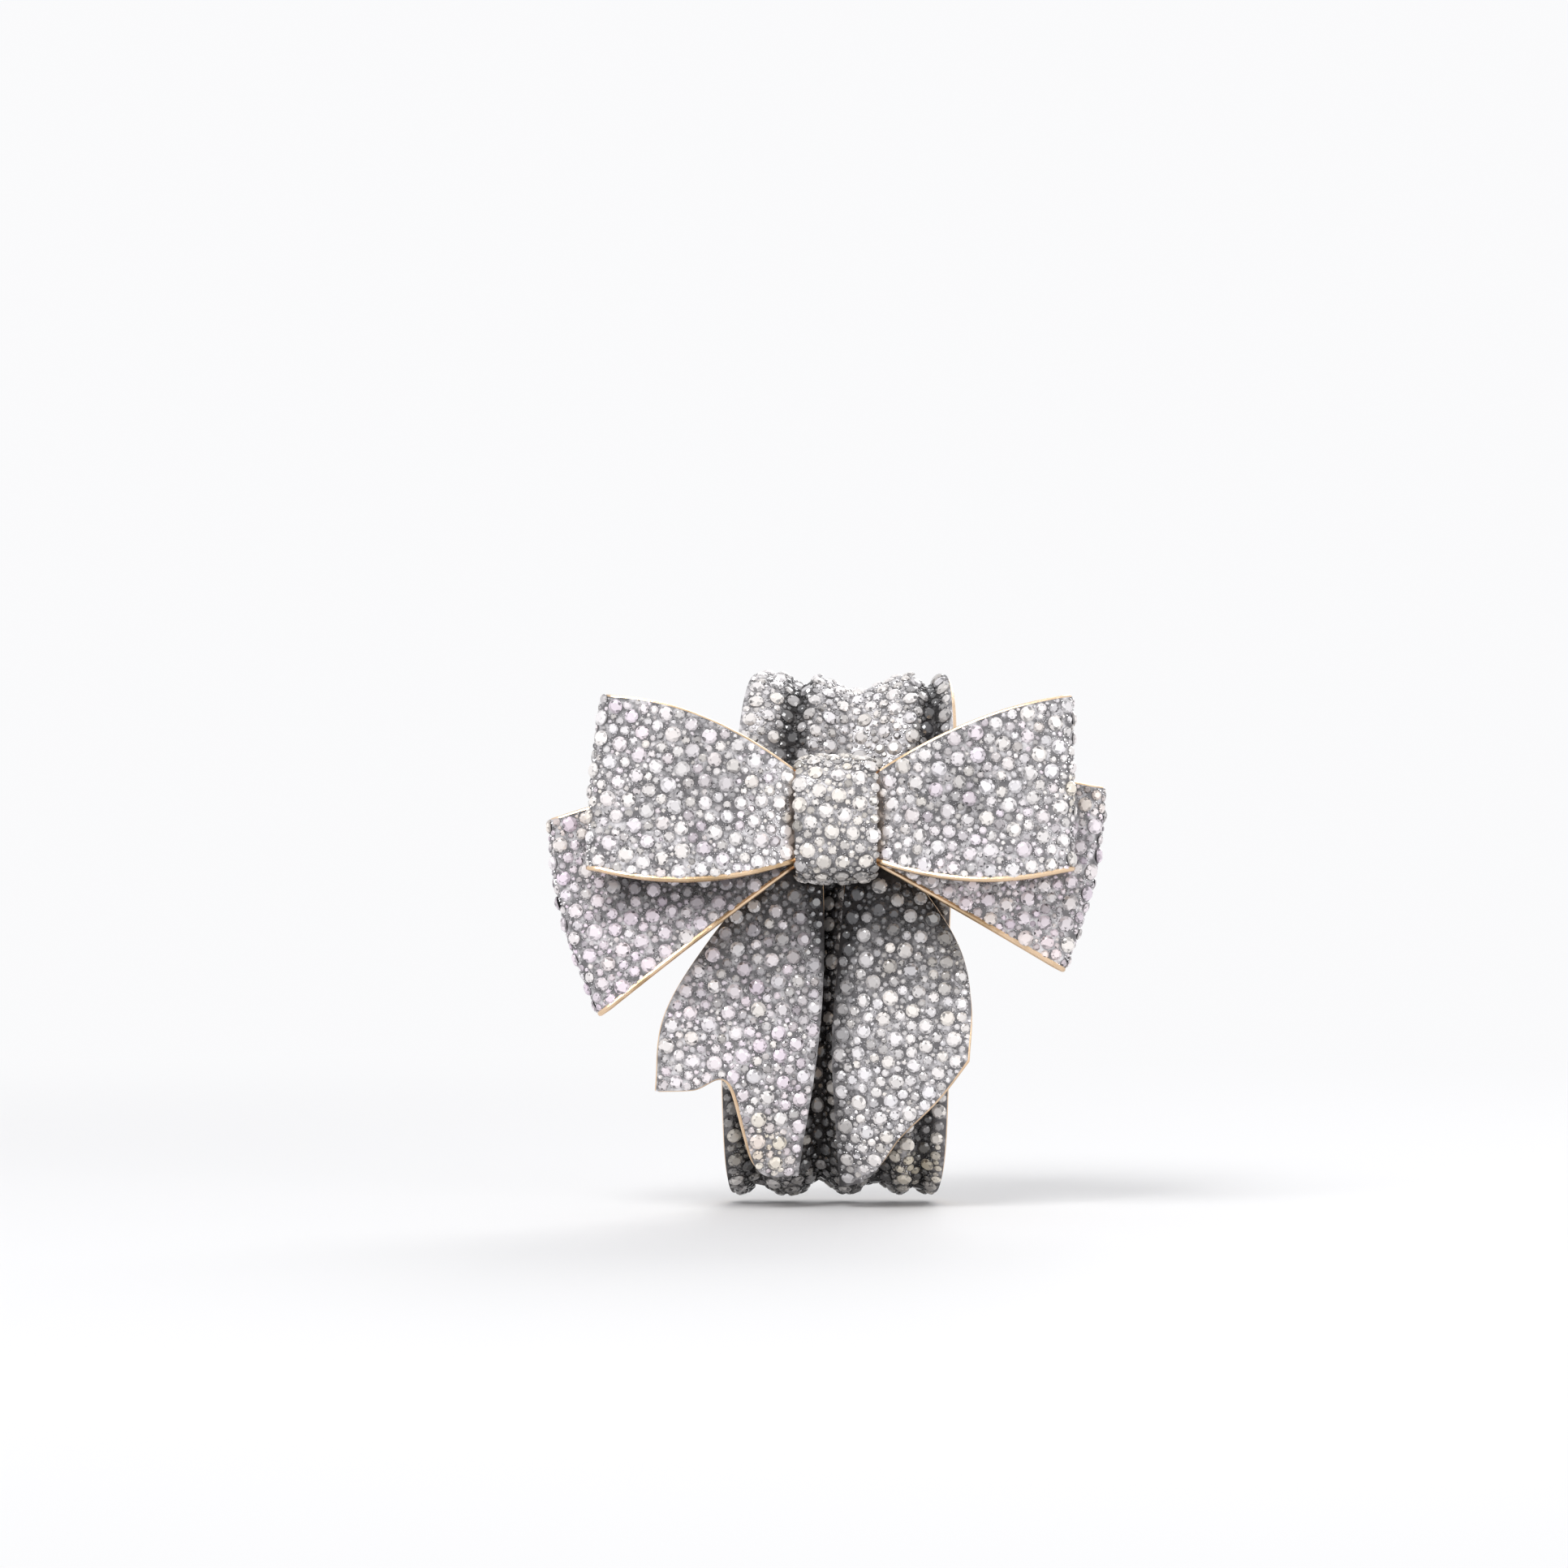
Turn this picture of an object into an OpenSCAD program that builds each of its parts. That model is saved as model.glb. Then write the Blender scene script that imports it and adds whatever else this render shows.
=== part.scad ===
// Bow brooch: a double ribbon bow with two tails on a pleated saddle band, all set with round
// stones, and a hinged pin with a roll-over safety catch on a bar behind the band.
// X runs to the wearer's-left of the bow as seen from the front, Y goes back into the cloth and
// Z is up. The origin is the middle of the pin's shaft.

/* [Sheets] */
// Thickness of each cast ribbon sheet
sheet_t = 0.9; // [0.7:0.05:1.2]
// Thickness of the saddle band
band_t = 1.0; // [0.8:0.05:1.3]

/* [Bow] */
// Front left loop: reach at its top, reach at its bottom, top corner height, bottom corner drop
front_left = [22.8, 24.3, 12.7, 5.3]; // [4:0.1:30]
// Front right loop: reach at its top, reach at its bottom, top corner height, bottom corner drop
front_right = [23.1, 23.2, 12.6, 5.4]; // [4:0.1:30]
// Rear left loop: reach at its top, reach at its bottom, top corner height, bottom corner drop
rear_left = [28.7, 23.6, 0.2, 19.7]; // [0.5:0.1:34]
// Rear right loop: reach at its top, reach at its bottom, top corner height, bottom corner drop
rear_right = [26.9, 22.7, 3.4, 15.2]; // [0.5:0.1:34]
// Half the ribbon's height where a loop meets the knot
root_half = 3.7; // [3.2:0.1:4]
// How far a front loop bellies forward between knot and fold
front_belly = 3.6; // [2:0.1:5]
// Gap between the two sheets of a front loop at its fold
front_fold = 2.3; // [1.9:0.1:2.8]
// Gap between the two sheets of a rear loop at its fold
rear_fold = 1.8; // [1.6:0.1:2.2]
// Gap between the two sheets of any loop at the knot
root_gap = 1.3; // [1.2:0.05:1.5]
// Half width of the knot
knot_w = 4.1; // [3.8:0.1:5]
// Half height of the knot
knot_h = 6.1; // [5.6:0.1:7]

/* [Saddle band] */
// Height of the whole band from its top to its bottom crest
band_h = 56; // [52:1:68]
// Half width of the band
band_w = 12.0; // [10:0.1:14]
// Depth of the narrow pleats
pleat_d = 1.5; // [0.8:0.1:1.8]
// Radius of the band's flat front
front_r = 80; // [70:1:100]
// Angle at which the front turns into the rolled ends
front_a = 15; // [13:0.5:17]
// Angle at which the rolled ends stop
end_a = 99; // [90:1:105]
// How far the bow's knot sits above the middle of the band
knot_up = 12.4; // [9:0.2:14]

/* [Stones] */
// Girdle radius of a principal stone
stone_r = 0.82; // [0.6:0.02:0.9]
// Height of a stone's crown
stone_h = 0.42; // [0.3:0.02:0.6]
// Depth to which a girdle is set into its sheet
stone_seat = 0.12; // [0.08:0.02:0.2]

/* [Pin and catch] */
// Radius of the pin's shaft
pin_r = 0.45; // [0.35:0.05:0.5]
// Distance from the middle of the shaft to the hinge and to the catch
pin_half = 17; // [16:0.5:20]
// Clear height of the pin's axis above the bar
pin_lift = 3.9; // [3.6:0.1:4.6]
// Thickness of the bar
bar_t = 1.2; // [1:0.1:1.5]
// Height of the bar
bar_w = 5.0; // [4.6:0.1:6]
// Radius of the hinge rivet
rivet_r = 0.42; // [0.35:0.01:0.5]
// Radius of the bore in the safety roller that the pin lies in
roller_bore = 0.75; // [0.7:0.05:0.85]
// Wall of the safety roller
roller_wall = 0.65; // [0.55:0.05:0.7]
// Radius of the stud that clamps the bow, band and bar
stud_r = 1.0; // [0.8:0.1:1.2]

/* [Hidden] */
$fn = 40;

run_gap = 0.05;      // radial clearance of a part that turns
seat_gap = 0.02;     // radial clearance of a fixed rivet or stud
layer_gap = 0.3;     // gap between one ribbon layer and the next at the knot
bar_gap = 0.55;      // room between bar and band, which leans there
tail_room = 3.2;     // depth for the tails between the band and the rear loops' back sheets
knot_room = 1.7;     // depth for the front loops' belly behind the knot

// Depths, from the pin's axis forward (towards -Y)
bar_back = -pin_lift;
bar_front = bar_back - bar_t;
band_rise = front_r * (1 - cos(asin(knot_up / front_r)));  // the band leans back this much at the knot
band_inner = bar_front - bar_gap;                          // band's back face at the knot
band_front = band_inner - band_t - band_rise;              // its front crest at mid-height
tail_root = 1.3;                                           // lift of a tail's middle off the band
rear_back = band_inner - band_t - tail_room;               // middle of a rear loop's back sheet
rear_front = rear_back - root_gap;
front_back = rear_front - sheet_t - layer_gap;
front_front = front_back - root_gap;
knot_inner = front_front - sheet_t / 2 - knot_room;
knot_front = knot_inner - sheet_t / 2;                     // middle of the knot's sheet
knot_mid = rear_back;                                      // depth at which the knot's arch turns in
block_half = [2.6, 2.8];                                   // half width and half height of the centre block
root_x = block_half[0] + 0.2;

// ---- curves and sheets ---------------------------------------------------------------------

function bez2(a, b, c, t) = (1 - t) * (1 - t) * a + 2 * t * (1 - t) * b + t * t * c;
function unit(v) = v / norm(v);

// Catmull-Rom curve through a list of values, with t from 0 to the last index
function through(p, t) =
  let (n = len(p), i = min(floor(t), n - 2), f = t - i,
       b = p[i], c = p[i + 1],
       a = i > 0 ? p[i - 1] : 2 * b - c,
       d = i < n - 2 ? p[i + 2] : 2 * c - b)
  0.5 * (2 * b + (c - a) * f + (2 * a - 5 * b + 4 * c - d) * f * f + (3 * b - a - 3 * c + d) * f * f * f);

// Point on a 3 x 3 Bezier sheet: u from knot to fold, v from bottom to top
function sheet_at(P, u, v) =
  bez2(bez2(P[0][0], P[0][1], P[0][2], v), bez2(P[1][0], P[1][1], P[1][2], v),
       bez2(P[2][0], P[2][1], P[2][2], v), u);

// Control net of a loop's front sheet. c holds reach top, reach bottom, top corner and bottom drop;
// y the depth at the knot; belly, flare and bow give the bulge, the turned-out lower edge and
// how far the lower and upper edges bow outward.
function loop_net(side, c, y, belly, fold_y, flare, bow) = [
  [[side * root_x, y, -root_half], [side * root_x, y, 0], [side * root_x, y, root_half]],
  [[side * (root_x + c[1]) / 2, y - belly - flare[0], -(root_half + c[3]) / 2 - bow[0]],
   [side * (root_x + c[0]) / 2, y - belly, (c[2] - c[3]) / 5],
   [side * (root_x + c[0]) / 2, y - belly - flare[2], (root_half + c[2]) / 2 + bow[1]]],
  [[side * c[1], fold_y - flare[1], -c[3]],
   [side * max(c[0], c[1]), fold_y, (c[2] - c[3]) / 2],
   [side * c[0], fold_y, c[2]]]
];

FOLD_FROM = 0.46; // share of a loop's path where the front sheet ends and the fold begins

// Point on a whole loop: s runs out along the front sheet, round the fold and back behind it
function loop_at(L, s, v) =
  let (P = L[0], gap0 = L[1], gap1 = L[2])
  s <= FOLD_FROM ? sheet_at(P, s / FOLD_FROM, v)
  : s >= 1 - FOLD_FROM ? let (q = (1 - s) / FOLD_FROM) sheet_at(P, q, v) + [0, gap0 + (gap1 - gap0) * q, 0]
  : let (a = 180 * (s - FOLD_FROM) / (1 - 2 * FOLD_FROM), e = sheet_at(P, 1, v),
         w = e - sheet_at(P, 0.9, v), out = unit([w[0], 0, w[2]]))
    e + [0, gap1 / 2 * (1 - cos(a)), 0] + out * gap1 / 2 * sin(a);

// The band's side profile: a flat front arc and two rolled ends, by arc length from mid-height
front_len = front_r * front_a * PI / 180;
end_r = (band_h / 2 - front_r * sin(front_a)) / (1 - sin(front_a));
band_len = front_len + end_r * (end_a - front_a) * PI / 180;
function turn(l) =
  (l < 0 ? -1 : 1) * (abs(l) < front_len ? abs(l) / front_r * 180 / PI
                      : front_a + (abs(l) - front_len) / end_r * 180 / PI);
function profile(l) =
  let (a = abs(turn(l)), g = l < 0 ? -1 : 1)
  a < front_a ? [front_r * (1 - cos(a)), g * front_r * sin(a)]
  : [front_r * (1 - cos(front_a)) + end_r * (cos(front_a) - cos(a)),
     g * (front_r * sin(front_a) + end_r * (sin(a) - sin(front_a)))];

// A point lifted off the band's front crest: x across, l along the profile, h forward
function off_band(x, l, h) =
  let (p = profile(l), a = turn(l))
  [x, band_front + p[0] - h * cos(a), -knot_up + p[1] + h * sin(a)];

// Pleats: [place across the band at its end, depth as a share of pleat_d, width]
pleats_top = [[0.25, 0.9, 0.07], [0.54, 1.25, 0.17], [0.9, 1.0, 0.06]];
pleats_bottom = [[0.13, 0.8, 0.06], [0.43, 1.1, 0.07], [0.7, 0.9, 0.08], [0.9, 0.5, 0.05]];
plain_len = 3.2; // the band is plain this far from the knot's height, where the bar and bow sit
fade_len = 5.5;  // and its pleats reach their full depth over this much more
function fade(l) = let (t = max(0, min(1, (abs(l - knot_up) - plain_len) / fade_len))) t * t * (3 - 2 * t);
function pleat(u, l) =
  let (rows = l > knot_up ? pleats_top : pleats_bottom, f = fade(l))
  f * pleat_d * max([for (r = rows) r[1] * exp(-pow((u - 0.5 - (r[0] - 0.5) * (0.4 + 0.6 * f)) / r[2], 2))]);
// The band narrows a little where it rolls back, and leans to one side at its top
function band_half(l) = band_w - 1.6 * pow(abs(l) / band_len, 4) - (l > 0 ? 0.6 * l / band_len : 0);
function band_x(u, l) = (2 * u - 1) * band_half(l) + (l > 0 ? 1.9 * l / band_len : 0);
function band_at(u, l) = off_band(band_x(u, l), l, -pleat(u, l));

// Rails of each tail from its outer to its inner edge: [x, distance along the band, lift]
tail_end_left = 15.2;
tail_end_right = 12.3;
tail_top = 9.2;
rails_left = [
  [[-5.2, tail_top, tail_root], [-13.2, -0.4, 1.5], [-18.0, -8.0, 3.6], [-18.9, -tail_end_left, 5.2]],
  [[-4.4, tail_top, tail_root + 0.1], [-10.2, -0.8, 2.0], [-14.1, -8.6, 3.4], [-15.0, -tail_end_left, 4.6]],
  [[-3.5, tail_top, tail_root + 0.1], [-7.0, -1.2, 2.1], [-10.2, -9.2, 3.0], [-11.3, -tail_end_left + 0.5, 3.8]],
  [[-2.6, tail_top, tail_root], [-4.6, -2.0, 2.1], [-7.2, -12.0, 3.0], [-8.4, -tail_end_left - 8.2, 2.8]],
  [[-1.5, tail_top, tail_root - 0.1], [-1.3, -2.0, 1.2], [-2.0, -12.0, 1.5], [-4.0, -tail_end_left - 9.5, 1.9]]
];
rails_right = [
  [[1.5, tail_top, tail_root - 0.1], [0.5, -2.0, 1.2], [-0.2, -12.0, 1.5], [0.6, -tail_end_right - 13.8, 1.8]],
  [[2.6, tail_top, tail_root], [3.6, -2.0, 2.5], [4.2, -12.0, 3.1], [3.5, -tail_end_right - 12.4, 2.4]],
  [[3.8, tail_top, tail_root + 0.1], [7.0, -1.4, 2.7], [9.0, -9.4, 3.6], [6.9, -tail_end_right - 8.2, 3.1]],
  [[5.0, tail_top, tail_root + 0.1], [10.4, -0.8, 2.2], [12.6, -7.0, 3.4], [10.8, -tail_end_right - 4.1, 3.8]],
  [[6.0, tail_top, tail_root], [12.5, -0.2, 1.6], [14.1, -6.6, 2.8], [14.0, -tail_end_right, 3.8]]
];
// Point on a tail: u across from its first rail to its last, w down from the knot
function tail_at(R, u, w) =
  let (p = through([for (r = R) through(r, 3 * w)], 4 * u)) off_band(p[0], p[1], p[2]);

// The knot: a squarish arch over the loops' roots, crowned across its width
KNOT_FROM = -86;
KNOT_TO = 98;
knot_power = 3.6;
function knot_at(u, w) =
  let (a = KNOT_FROM + (KNOT_TO - KNOT_FROM) * w, k = 2 * u - 1, crown = 1 - 0.07 * k * k * k * k,
       r = crown / pow(pow(abs(cos(a)), knot_power) + pow(abs(sin(a)), knot_power), 1 / knot_power))
  [k * knot_w * (0.9 + 0.1 * cos(a)), knot_mid + (knot_front - knot_mid) * r * cos(a), knot_h * r * sin(a)];

// A named surface at (a, b), both 0 to 1, and which way its front faces
function skin_at(kind, a, b) =
  kind == "band" ? band_at(a, -band_len + 2 * band_len * b)
  : kind == "tail_left" ? tail_at(rails_left, a, b)
  : kind == "tail_right" ? tail_at(rails_right, a, b)
  : kind == "knot" ? knot_at(a, b)
  : loop_at(loops(kind), a, b);
net_front_left = loop_net(-1, front_left, front_front, front_belly, front_front - 1.7, [1.6, 0.9, -0.4], [3.4, 3.9]);
net_front_right = loop_net(1, front_right, front_front, front_belly, front_front - 1.7, [1.0, 0.5, -0.4], [3.2, 2.8]);
net_rear_left = loop_net(-1, rear_left, rear_front, 0.7, rear_front - 0.3, [0.6, 1.2, -0.2], [-0.4, 2.6]);
net_rear_right = loop_net(1, rear_right, rear_front, 0.7, rear_front - 0.3, [0.6, 1.0, -0.2], [-0.2, 2.2]);
function loops(kind) =
  kind == "front_left" ? [net_front_left, root_gap, front_fold]
  : kind == "front_right" ? [net_front_right, root_gap, front_fold]
  : kind == "rear_left" ? [net_rear_left, root_gap, rear_fold]
  : [net_rear_right, root_gap, rear_fold];
function facing(kind) =
  kind == "front_right" || kind == "rear_right" || kind == "band" || kind == "knot" ? 1 : -1;
step_n = 0.002; // step of the slopes that give a surface its normal
function normal_at(kind, a, b) =
  let (a0 = max(0, a - step_n), a1 = min(1, a + step_n), b0 = max(0, b - step_n), b1 = min(1, b + step_n))
  facing(kind) * unit(cross(skin_at(kind, a1, b) - skin_at(kind, a0, b),
                            skin_at(kind, a, b1) - skin_at(kind, a, b0)));

// A closed solid of even thickness about a surface, between the offsets `front` and `back`
module thick(kind, steps_a, steps_b, front, back) {
  na = len(steps_a);
  nb = len(steps_b);
  grid = [for (a = steps_a, b = steps_b) [skin_at(kind, a, b), normal_at(kind, a, b)]];
  points = concat([for (g = grid) g[0] + g[1] * front], [for (g = grid) g[0] - g[1] * back]);
  far = na * nb;
  function quad(p, q, r, s) = facing(kind) > 0 ? [[p, q, r], [p, r, s]] : [[r, q, p], [s, r, p]];
  faces = [
    for (i = [0:na - 2], j = [0:nb - 2])
      let (p = i * nb + j) each concat(quad(p, p + 1, p + nb + 1, p + nb),
                                       quad(far + p, far + p + nb, far + p + nb + 1, far + p + 1)),
    for (i = [0:na - 2])
      let (p = i * nb, q = p + nb - 1) each concat(quad(p, p + nb, far + p + nb, far + p),
                                                   quad(q, far + q, far + q + nb, q + nb)),
    for (j = [0:nb - 2])
      let (p = j, q = far - nb + j) each concat(quad(p, far + p, far + p + 1, p + 1),
                                                quad(q, q + 1, far + q + 1, far + q))
  ];
  polyhedron(points, faces, convexity = 8);
}
function even(n) = [for (i = [0:n]) i / n];
// A loop's path takes finer steps round its fold
function loop_steps(n, m) = concat([for (i = [0:n - 1]) FOLD_FROM * i / n],
                                   [for (i = [0:m]) FOLD_FROM + (1 - 2 * FOLD_FROM) * i / m],
                                   [for (i = [1:n]) 1 - FOLD_FROM + FOLD_FROM * i / n]);

// ---- the ribbon parts ------------------------------------------------------------------------

bar_rivet_x = 7.5; // how far each bar rivet is from the stud
bar_rivet_r = 0.6;
module saddle_band() {
  color("gainsboro") difference() {
    thick("band", even(34), even(34), 0, band_t);
    translate([0, band_inner + 2, 0]) rotate([90, 0, 0]) cylinder(r = stud_r + 0.15, h = 2 * band_t + 3);
    for (x = [-bar_rivet_x, bar_rivet_x])
      translate([x, band_inner + 2, 0]) rotate([90, 0, 0]) cylinder(r = bar_rivet_r + seat_gap, h = 2 * band_t + 3);
  }
}
module ribbon_loop(kind) {
  color("gainsboro") thick(kind, loop_steps(11, 6), even(8), sheet_t / 2, sheet_t / 2);
}
module tail(kind) {
  color("gainsboro") thick(kind, even(14), even(12), sheet_t / 2, sheet_t / 2);
}
module knot() {
  color("gainsboro") thick("knot", even(10), even(16), sheet_t / 2, sheet_t / 2);
}

// ---- stones ----------------------------------------------------------------------------------

// One round stone: a short girdle and a crown that narrows to its table
module stone() {
  table_r = 0.58 * stone_r;
  girdle = 0.14;
  color("white") rotate_extrude($fn = 24)
    polygon([[0, -stone_seat], [stone_r, -stone_seat], [stone_r, girdle], [table_r, stone_h], [0, stone_h]]);
}
// Stones set in a sheet at each [a, b] of a list, square to its front face
module set_stones(kind, places, rise) {
  for (p = places) {
    n = normal_at(kind, p[0], p[1]);
    translate(skin_at(kind, p[0], p[1]) + n * rise)
      rotate([0, acos(n[2]), atan2(n[1], n[0])]) stone();
  }
}
// Staggered rows of places on a surface; every second row has one place fewer, half a step in
function sheet_places(cols, rows, a0, a1, b0, b1) = [
  for (j = [0:rows - 1], i = [0:cols - 1 - j % 2])
    [a0 + (a1 - a0) * (i + (j % 2) / 2) / (cols - 1), b0 + (b1 - b0) * j / (rows - 1)]
];
// The same on a loop's front sheet from q0 outward, with one more row round the turn of its fold
function loop_places(cols, rows, q0, v0, v1, fold_stones) = concat(
  sheet_places(cols, rows, FOLD_FROM * q0, FOLD_FROM * 0.95, v0, v1),
  [for (i = [0:fold_stones - 1]) [0.5, 0.05 + 0.9 * i / (fold_stones - 1)]]
);

// ---- the parts that hold the bow together ------------------------------------------------------

nut_t = 1.4;
washer_t = 0.4;
nut_r = 2.3;
stud_end = bar_back + washer_t + nut_t + 0.3;   // the stud stands a little proud of its nut
block_back = band_inner - band_t - 0.65;        // clear of the band's lean
block_front = knot_inner + layer_gap;

// Core that the loops and tails are soldered to, with the threaded stud behind it
module centre_block() {
  color("goldenrod") {
    translate([-block_half[0], block_front, -block_half[1]])
      cube([2 * block_half[0], block_back - block_front, 2 * block_half[1]]);
    translate([0, stud_end, 0]) rotate([90, 0, 0]) cylinder(r = stud_r, h = stud_end - block_back + 0.5);
  }
}
module back_bar() {
  half = pin_half + 3.5 - bar_w / 2;
  color("goldenrod") difference() {
    union() {
      translate([-half, bar_front, -bar_w / 2]) cube([2 * half, bar_t, bar_w]);
      for (x = [-half, half])
        translate([x, bar_back, 0]) rotate([90, 0, 0]) cylinder(r = bar_w / 2, h = bar_t);
    }
    translate([0, bar_back + 1, 0]) rotate([90, 0, 0]) cylinder(r = stud_r + seat_gap, h = bar_t + 2);
    for (x = [-bar_rivet_x, bar_rivet_x])
      translate([x, bar_back + 1, 0]) rotate([90, 0, 0]) cylinder(r = bar_rivet_r + seat_gap, h = bar_t + 2);
  }
}
// Two rivets: shank through bar and band, a head behind the bar and one in front of the band
module bar_rivets() {
  head_r = 1.05;
  head_t = 0.5;
  front_face = band_inner - band_t - 0.25;
  color("gold") for (x = [-bar_rivet_x, bar_rivet_x]) translate([x, 0, 0]) {
    translate([0, bar_back, 0]) rotate([90, 0, 0]) cylinder(r = bar_rivet_r, h = bar_back - front_face);
    translate([0, bar_back + head_t, 0]) rotate([90, 0, 0]) cylinder(r = head_r, h = head_t);
    translate([0, front_face, 0]) rotate([90, 0, 0]) cylinder(r = head_r, h = head_t);
  }
}
module stud_washer() {
  color("gold") translate([0, bar_back + washer_t, 0]) rotate([90, 0, 0]) difference() {
    cylinder(r = nut_r + 0.2, h = washer_t);
    translate([0, 0, -1]) cylinder(r = stud_r + seat_gap, h = washer_t + 2);
  }
}
module stud_nut() {
  color("gold") translate([0, bar_back + washer_t + nut_t, 0]) rotate([90, 0, 0]) difference() {
    cylinder(r = nut_r, h = nut_t, $fn = 6);
    translate([0, 0, -1]) cylinder(r = stud_r + seat_gap, h = nut_t + 2);
  }
}

// ---- pin, hinge and catch ----------------------------------------------------------------------

plate_t = 0.8;
ear_t = 0.8;
eye_half = 0.9;    // half thickness of the pin's eye
side_gap = 0.1;    // clearance beside the eye, between the ears
eye_r = 1.15;
ear_r = eye_r;      // no wider than the eye, so what is threaded on the pin clears the ears
plate_w = 4.4;
plate_back = bar_back + plate_t;
ear_in = eye_half + side_gap;

module hinge_bracket() {
  color("goldenrod") translate([-pin_half, 0, 0]) {
    translate([-2, bar_back, -plate_w / 2]) cube([4, plate_t, plate_w]);
    for (z = [-ear_in - ear_t, ear_in]) translate([0, 0, z]) difference() {
      union() {
        cylinder(r = ear_r, h = ear_t);
        translate([-ear_r, plate_back - 0.2, 0]) cube([2 * ear_r, 0.2 - plate_back, ear_t]);
      }
      translate([0, 0, -1]) cylinder(r = rivet_r + seat_gap, h = ear_t + 2);
    }
  }
}
module hinge_rivet() {
  half = ear_in + ear_t + 0.02;
  color("gold") translate([-pin_half, 0, 0]) {
    translate([0, 0, -half]) cylinder(r = rivet_r, h = 2 * half);
    for (z = [-half - 0.35, half]) translate([0, 0, z]) cylinder(r = rivet_r + 0.35, h = 0.35);
  }
}
// Eye, spring tang, round shaft and a point that tapers through the catch
taper_from = pin_half - 2.8;
pin_tip = pin_half + 4.2;
module pin_stem() {
  color("silver") {
    difference() {
      union() {
        translate([-pin_half, 0, -eye_half]) cylinder(r = eye_r, h = 2 * eye_half);
        translate([-pin_half - 2.5, -0.45, -eye_half]) cube([2.5, 0.9, 2 * eye_half]);
      }
      translate([-pin_half, 0, -2]) cylinder(r = rivet_r + run_gap, h = 4);
    }
    translate([-pin_half + eye_r - 0.25, 0, 0]) rotate([0, 90, 0])
      cylinder(r = pin_r, h = taper_from + pin_half - eye_r + 0.25);
    translate([taper_from, 0, 0]) rotate([0, 90, 0])
      cylinder(r1 = pin_r, r2 = 0.08, h = pin_tip - taper_from);
  }
}

roller_r = roller_bore + roller_wall;
cheek_t = 1.0;
cheek_gap = 2.0;      // free width between the two cheeks
cheek_r = roller_r + run_gap + 0.85;
mouth = roller_bore;  // half width of the cheeks' mouth
catch_x = pin_half;
module catch_bracket() {
  color("goldenrod") translate([catch_x, 0, 0]) {
    translate([-cheek_gap / 2 - cheek_t - 0.4, bar_back, -plate_w / 2])
      cube([cheek_gap + 2 * cheek_t + 0.8, plate_t, plate_w]);
    for (x = [-cheek_gap / 2 - cheek_t, cheek_gap / 2]) translate([x, 0, 0]) difference() {
      union() {
        rotate([0, 90, 0]) cylinder(r = cheek_r, h = cheek_t);
        translate([0, plate_back - 0.2, -1.6]) cube([cheek_t, 0.2 - plate_back, 3.2]);
      }
      translate([-1, 0, 0]) rotate([0, 90, 0]) cylinder(r = roller_r + run_gap, h = cheek_t + 2);
      translate([-1, 0, -mouth]) cube([cheek_t + 2, cheek_r + 1, 2 * mouth]);
    }
  }
}
// Slotted sleeve that turns in the cheeks, with a thumb tab between them
module safety_roller() {
  sleeve = cheek_gap + 2 * cheek_t + 0.4;
  collar = cheek_gap - 2 * side_gap;
  slot = roller_bore - 0.1;
  tab_len = 4.4;
  color("gold") translate([catch_x, 0, 0]) difference() {
    union() {
      translate([-sleeve / 2, 0, 0]) rotate([0, 90, 0]) cylinder(r = roller_r, h = sleeve);
      translate([-collar / 2, 0, 0]) rotate([0, 90, 0]) cylinder(r = roller_r + 0.6, h = collar);
      translate([-collar / 2, -0.7, 0]) cube([collar, 1.4, tab_len]);
      translate([-collar / 2, 0, tab_len]) rotate([0, 90, 0]) cylinder(r = 0.7, h = collar);
    }
    translate([-sleeve, 0, 0]) rotate([0, 90, 0]) cylinder(r = roller_bore, h = 2 * sleeve);
    translate([-sleeve, 0, -slot]) cube([2 * sleeve, roller_r + 2, 2 * slot]);
  }
}

saddle_band();
tail("tail_left");  // tail_left
tail("tail_right");  // tail_right
ribbon_loop("rear_left");  // loop_rear_left
ribbon_loop("rear_right");  // loop_rear_right
ribbon_loop("front_left");  // loop_front_left
ribbon_loop("front_right");  // loop_front_right
knot();
centre_block();
back_bar();
bar_rivets();
stud_washer();
stud_nut();
hinge_bracket();
hinge_rivet();
pin_stem();
catch_bracket();
safety_roller();
set_stones("band", sheet_places(8, 6, 0.05, 0.95, 0.76, 0.975), 0);  // stones_band_top
set_stones("band", sheet_places(8, 5, 0.05, 0.95, 0.03, 0.17), 0);  // stones_band_bottom
set_stones("tail_left", sheet_places(6, 7, 0.06, 0.94, 0.36, 0.95), sheet_t / 2);  // stones_tail_left
set_stones("tail_right", sheet_places(6, 6, 0.07, 0.93, 0.36, 0.94), sheet_t / 2);  // stones_tail_right
set_stones("rear_left", loop_places(6, 5, 0.42, 0.06, 0.6, 11), sheet_t / 2);  // stones_rear_left
set_stones("rear_right", loop_places(6, 4, 0.42, 0.07, 0.5, 10), sheet_t / 2);  // stones_rear_right
set_stones("front_left", loop_places(8, 7, 0.26, 0.06, 0.94, 9), sheet_t / 2);  // stones_front_left
set_stones("front_right", loop_places(8, 7, 0.26, 0.06, 0.94, 9), sheet_t / 2);  // stones_front_right
set_stones("knot", sheet_places(4, 7, 0.1, 0.9, 0.06, 0.86), sheet_t / 2);  // stones_knot
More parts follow.
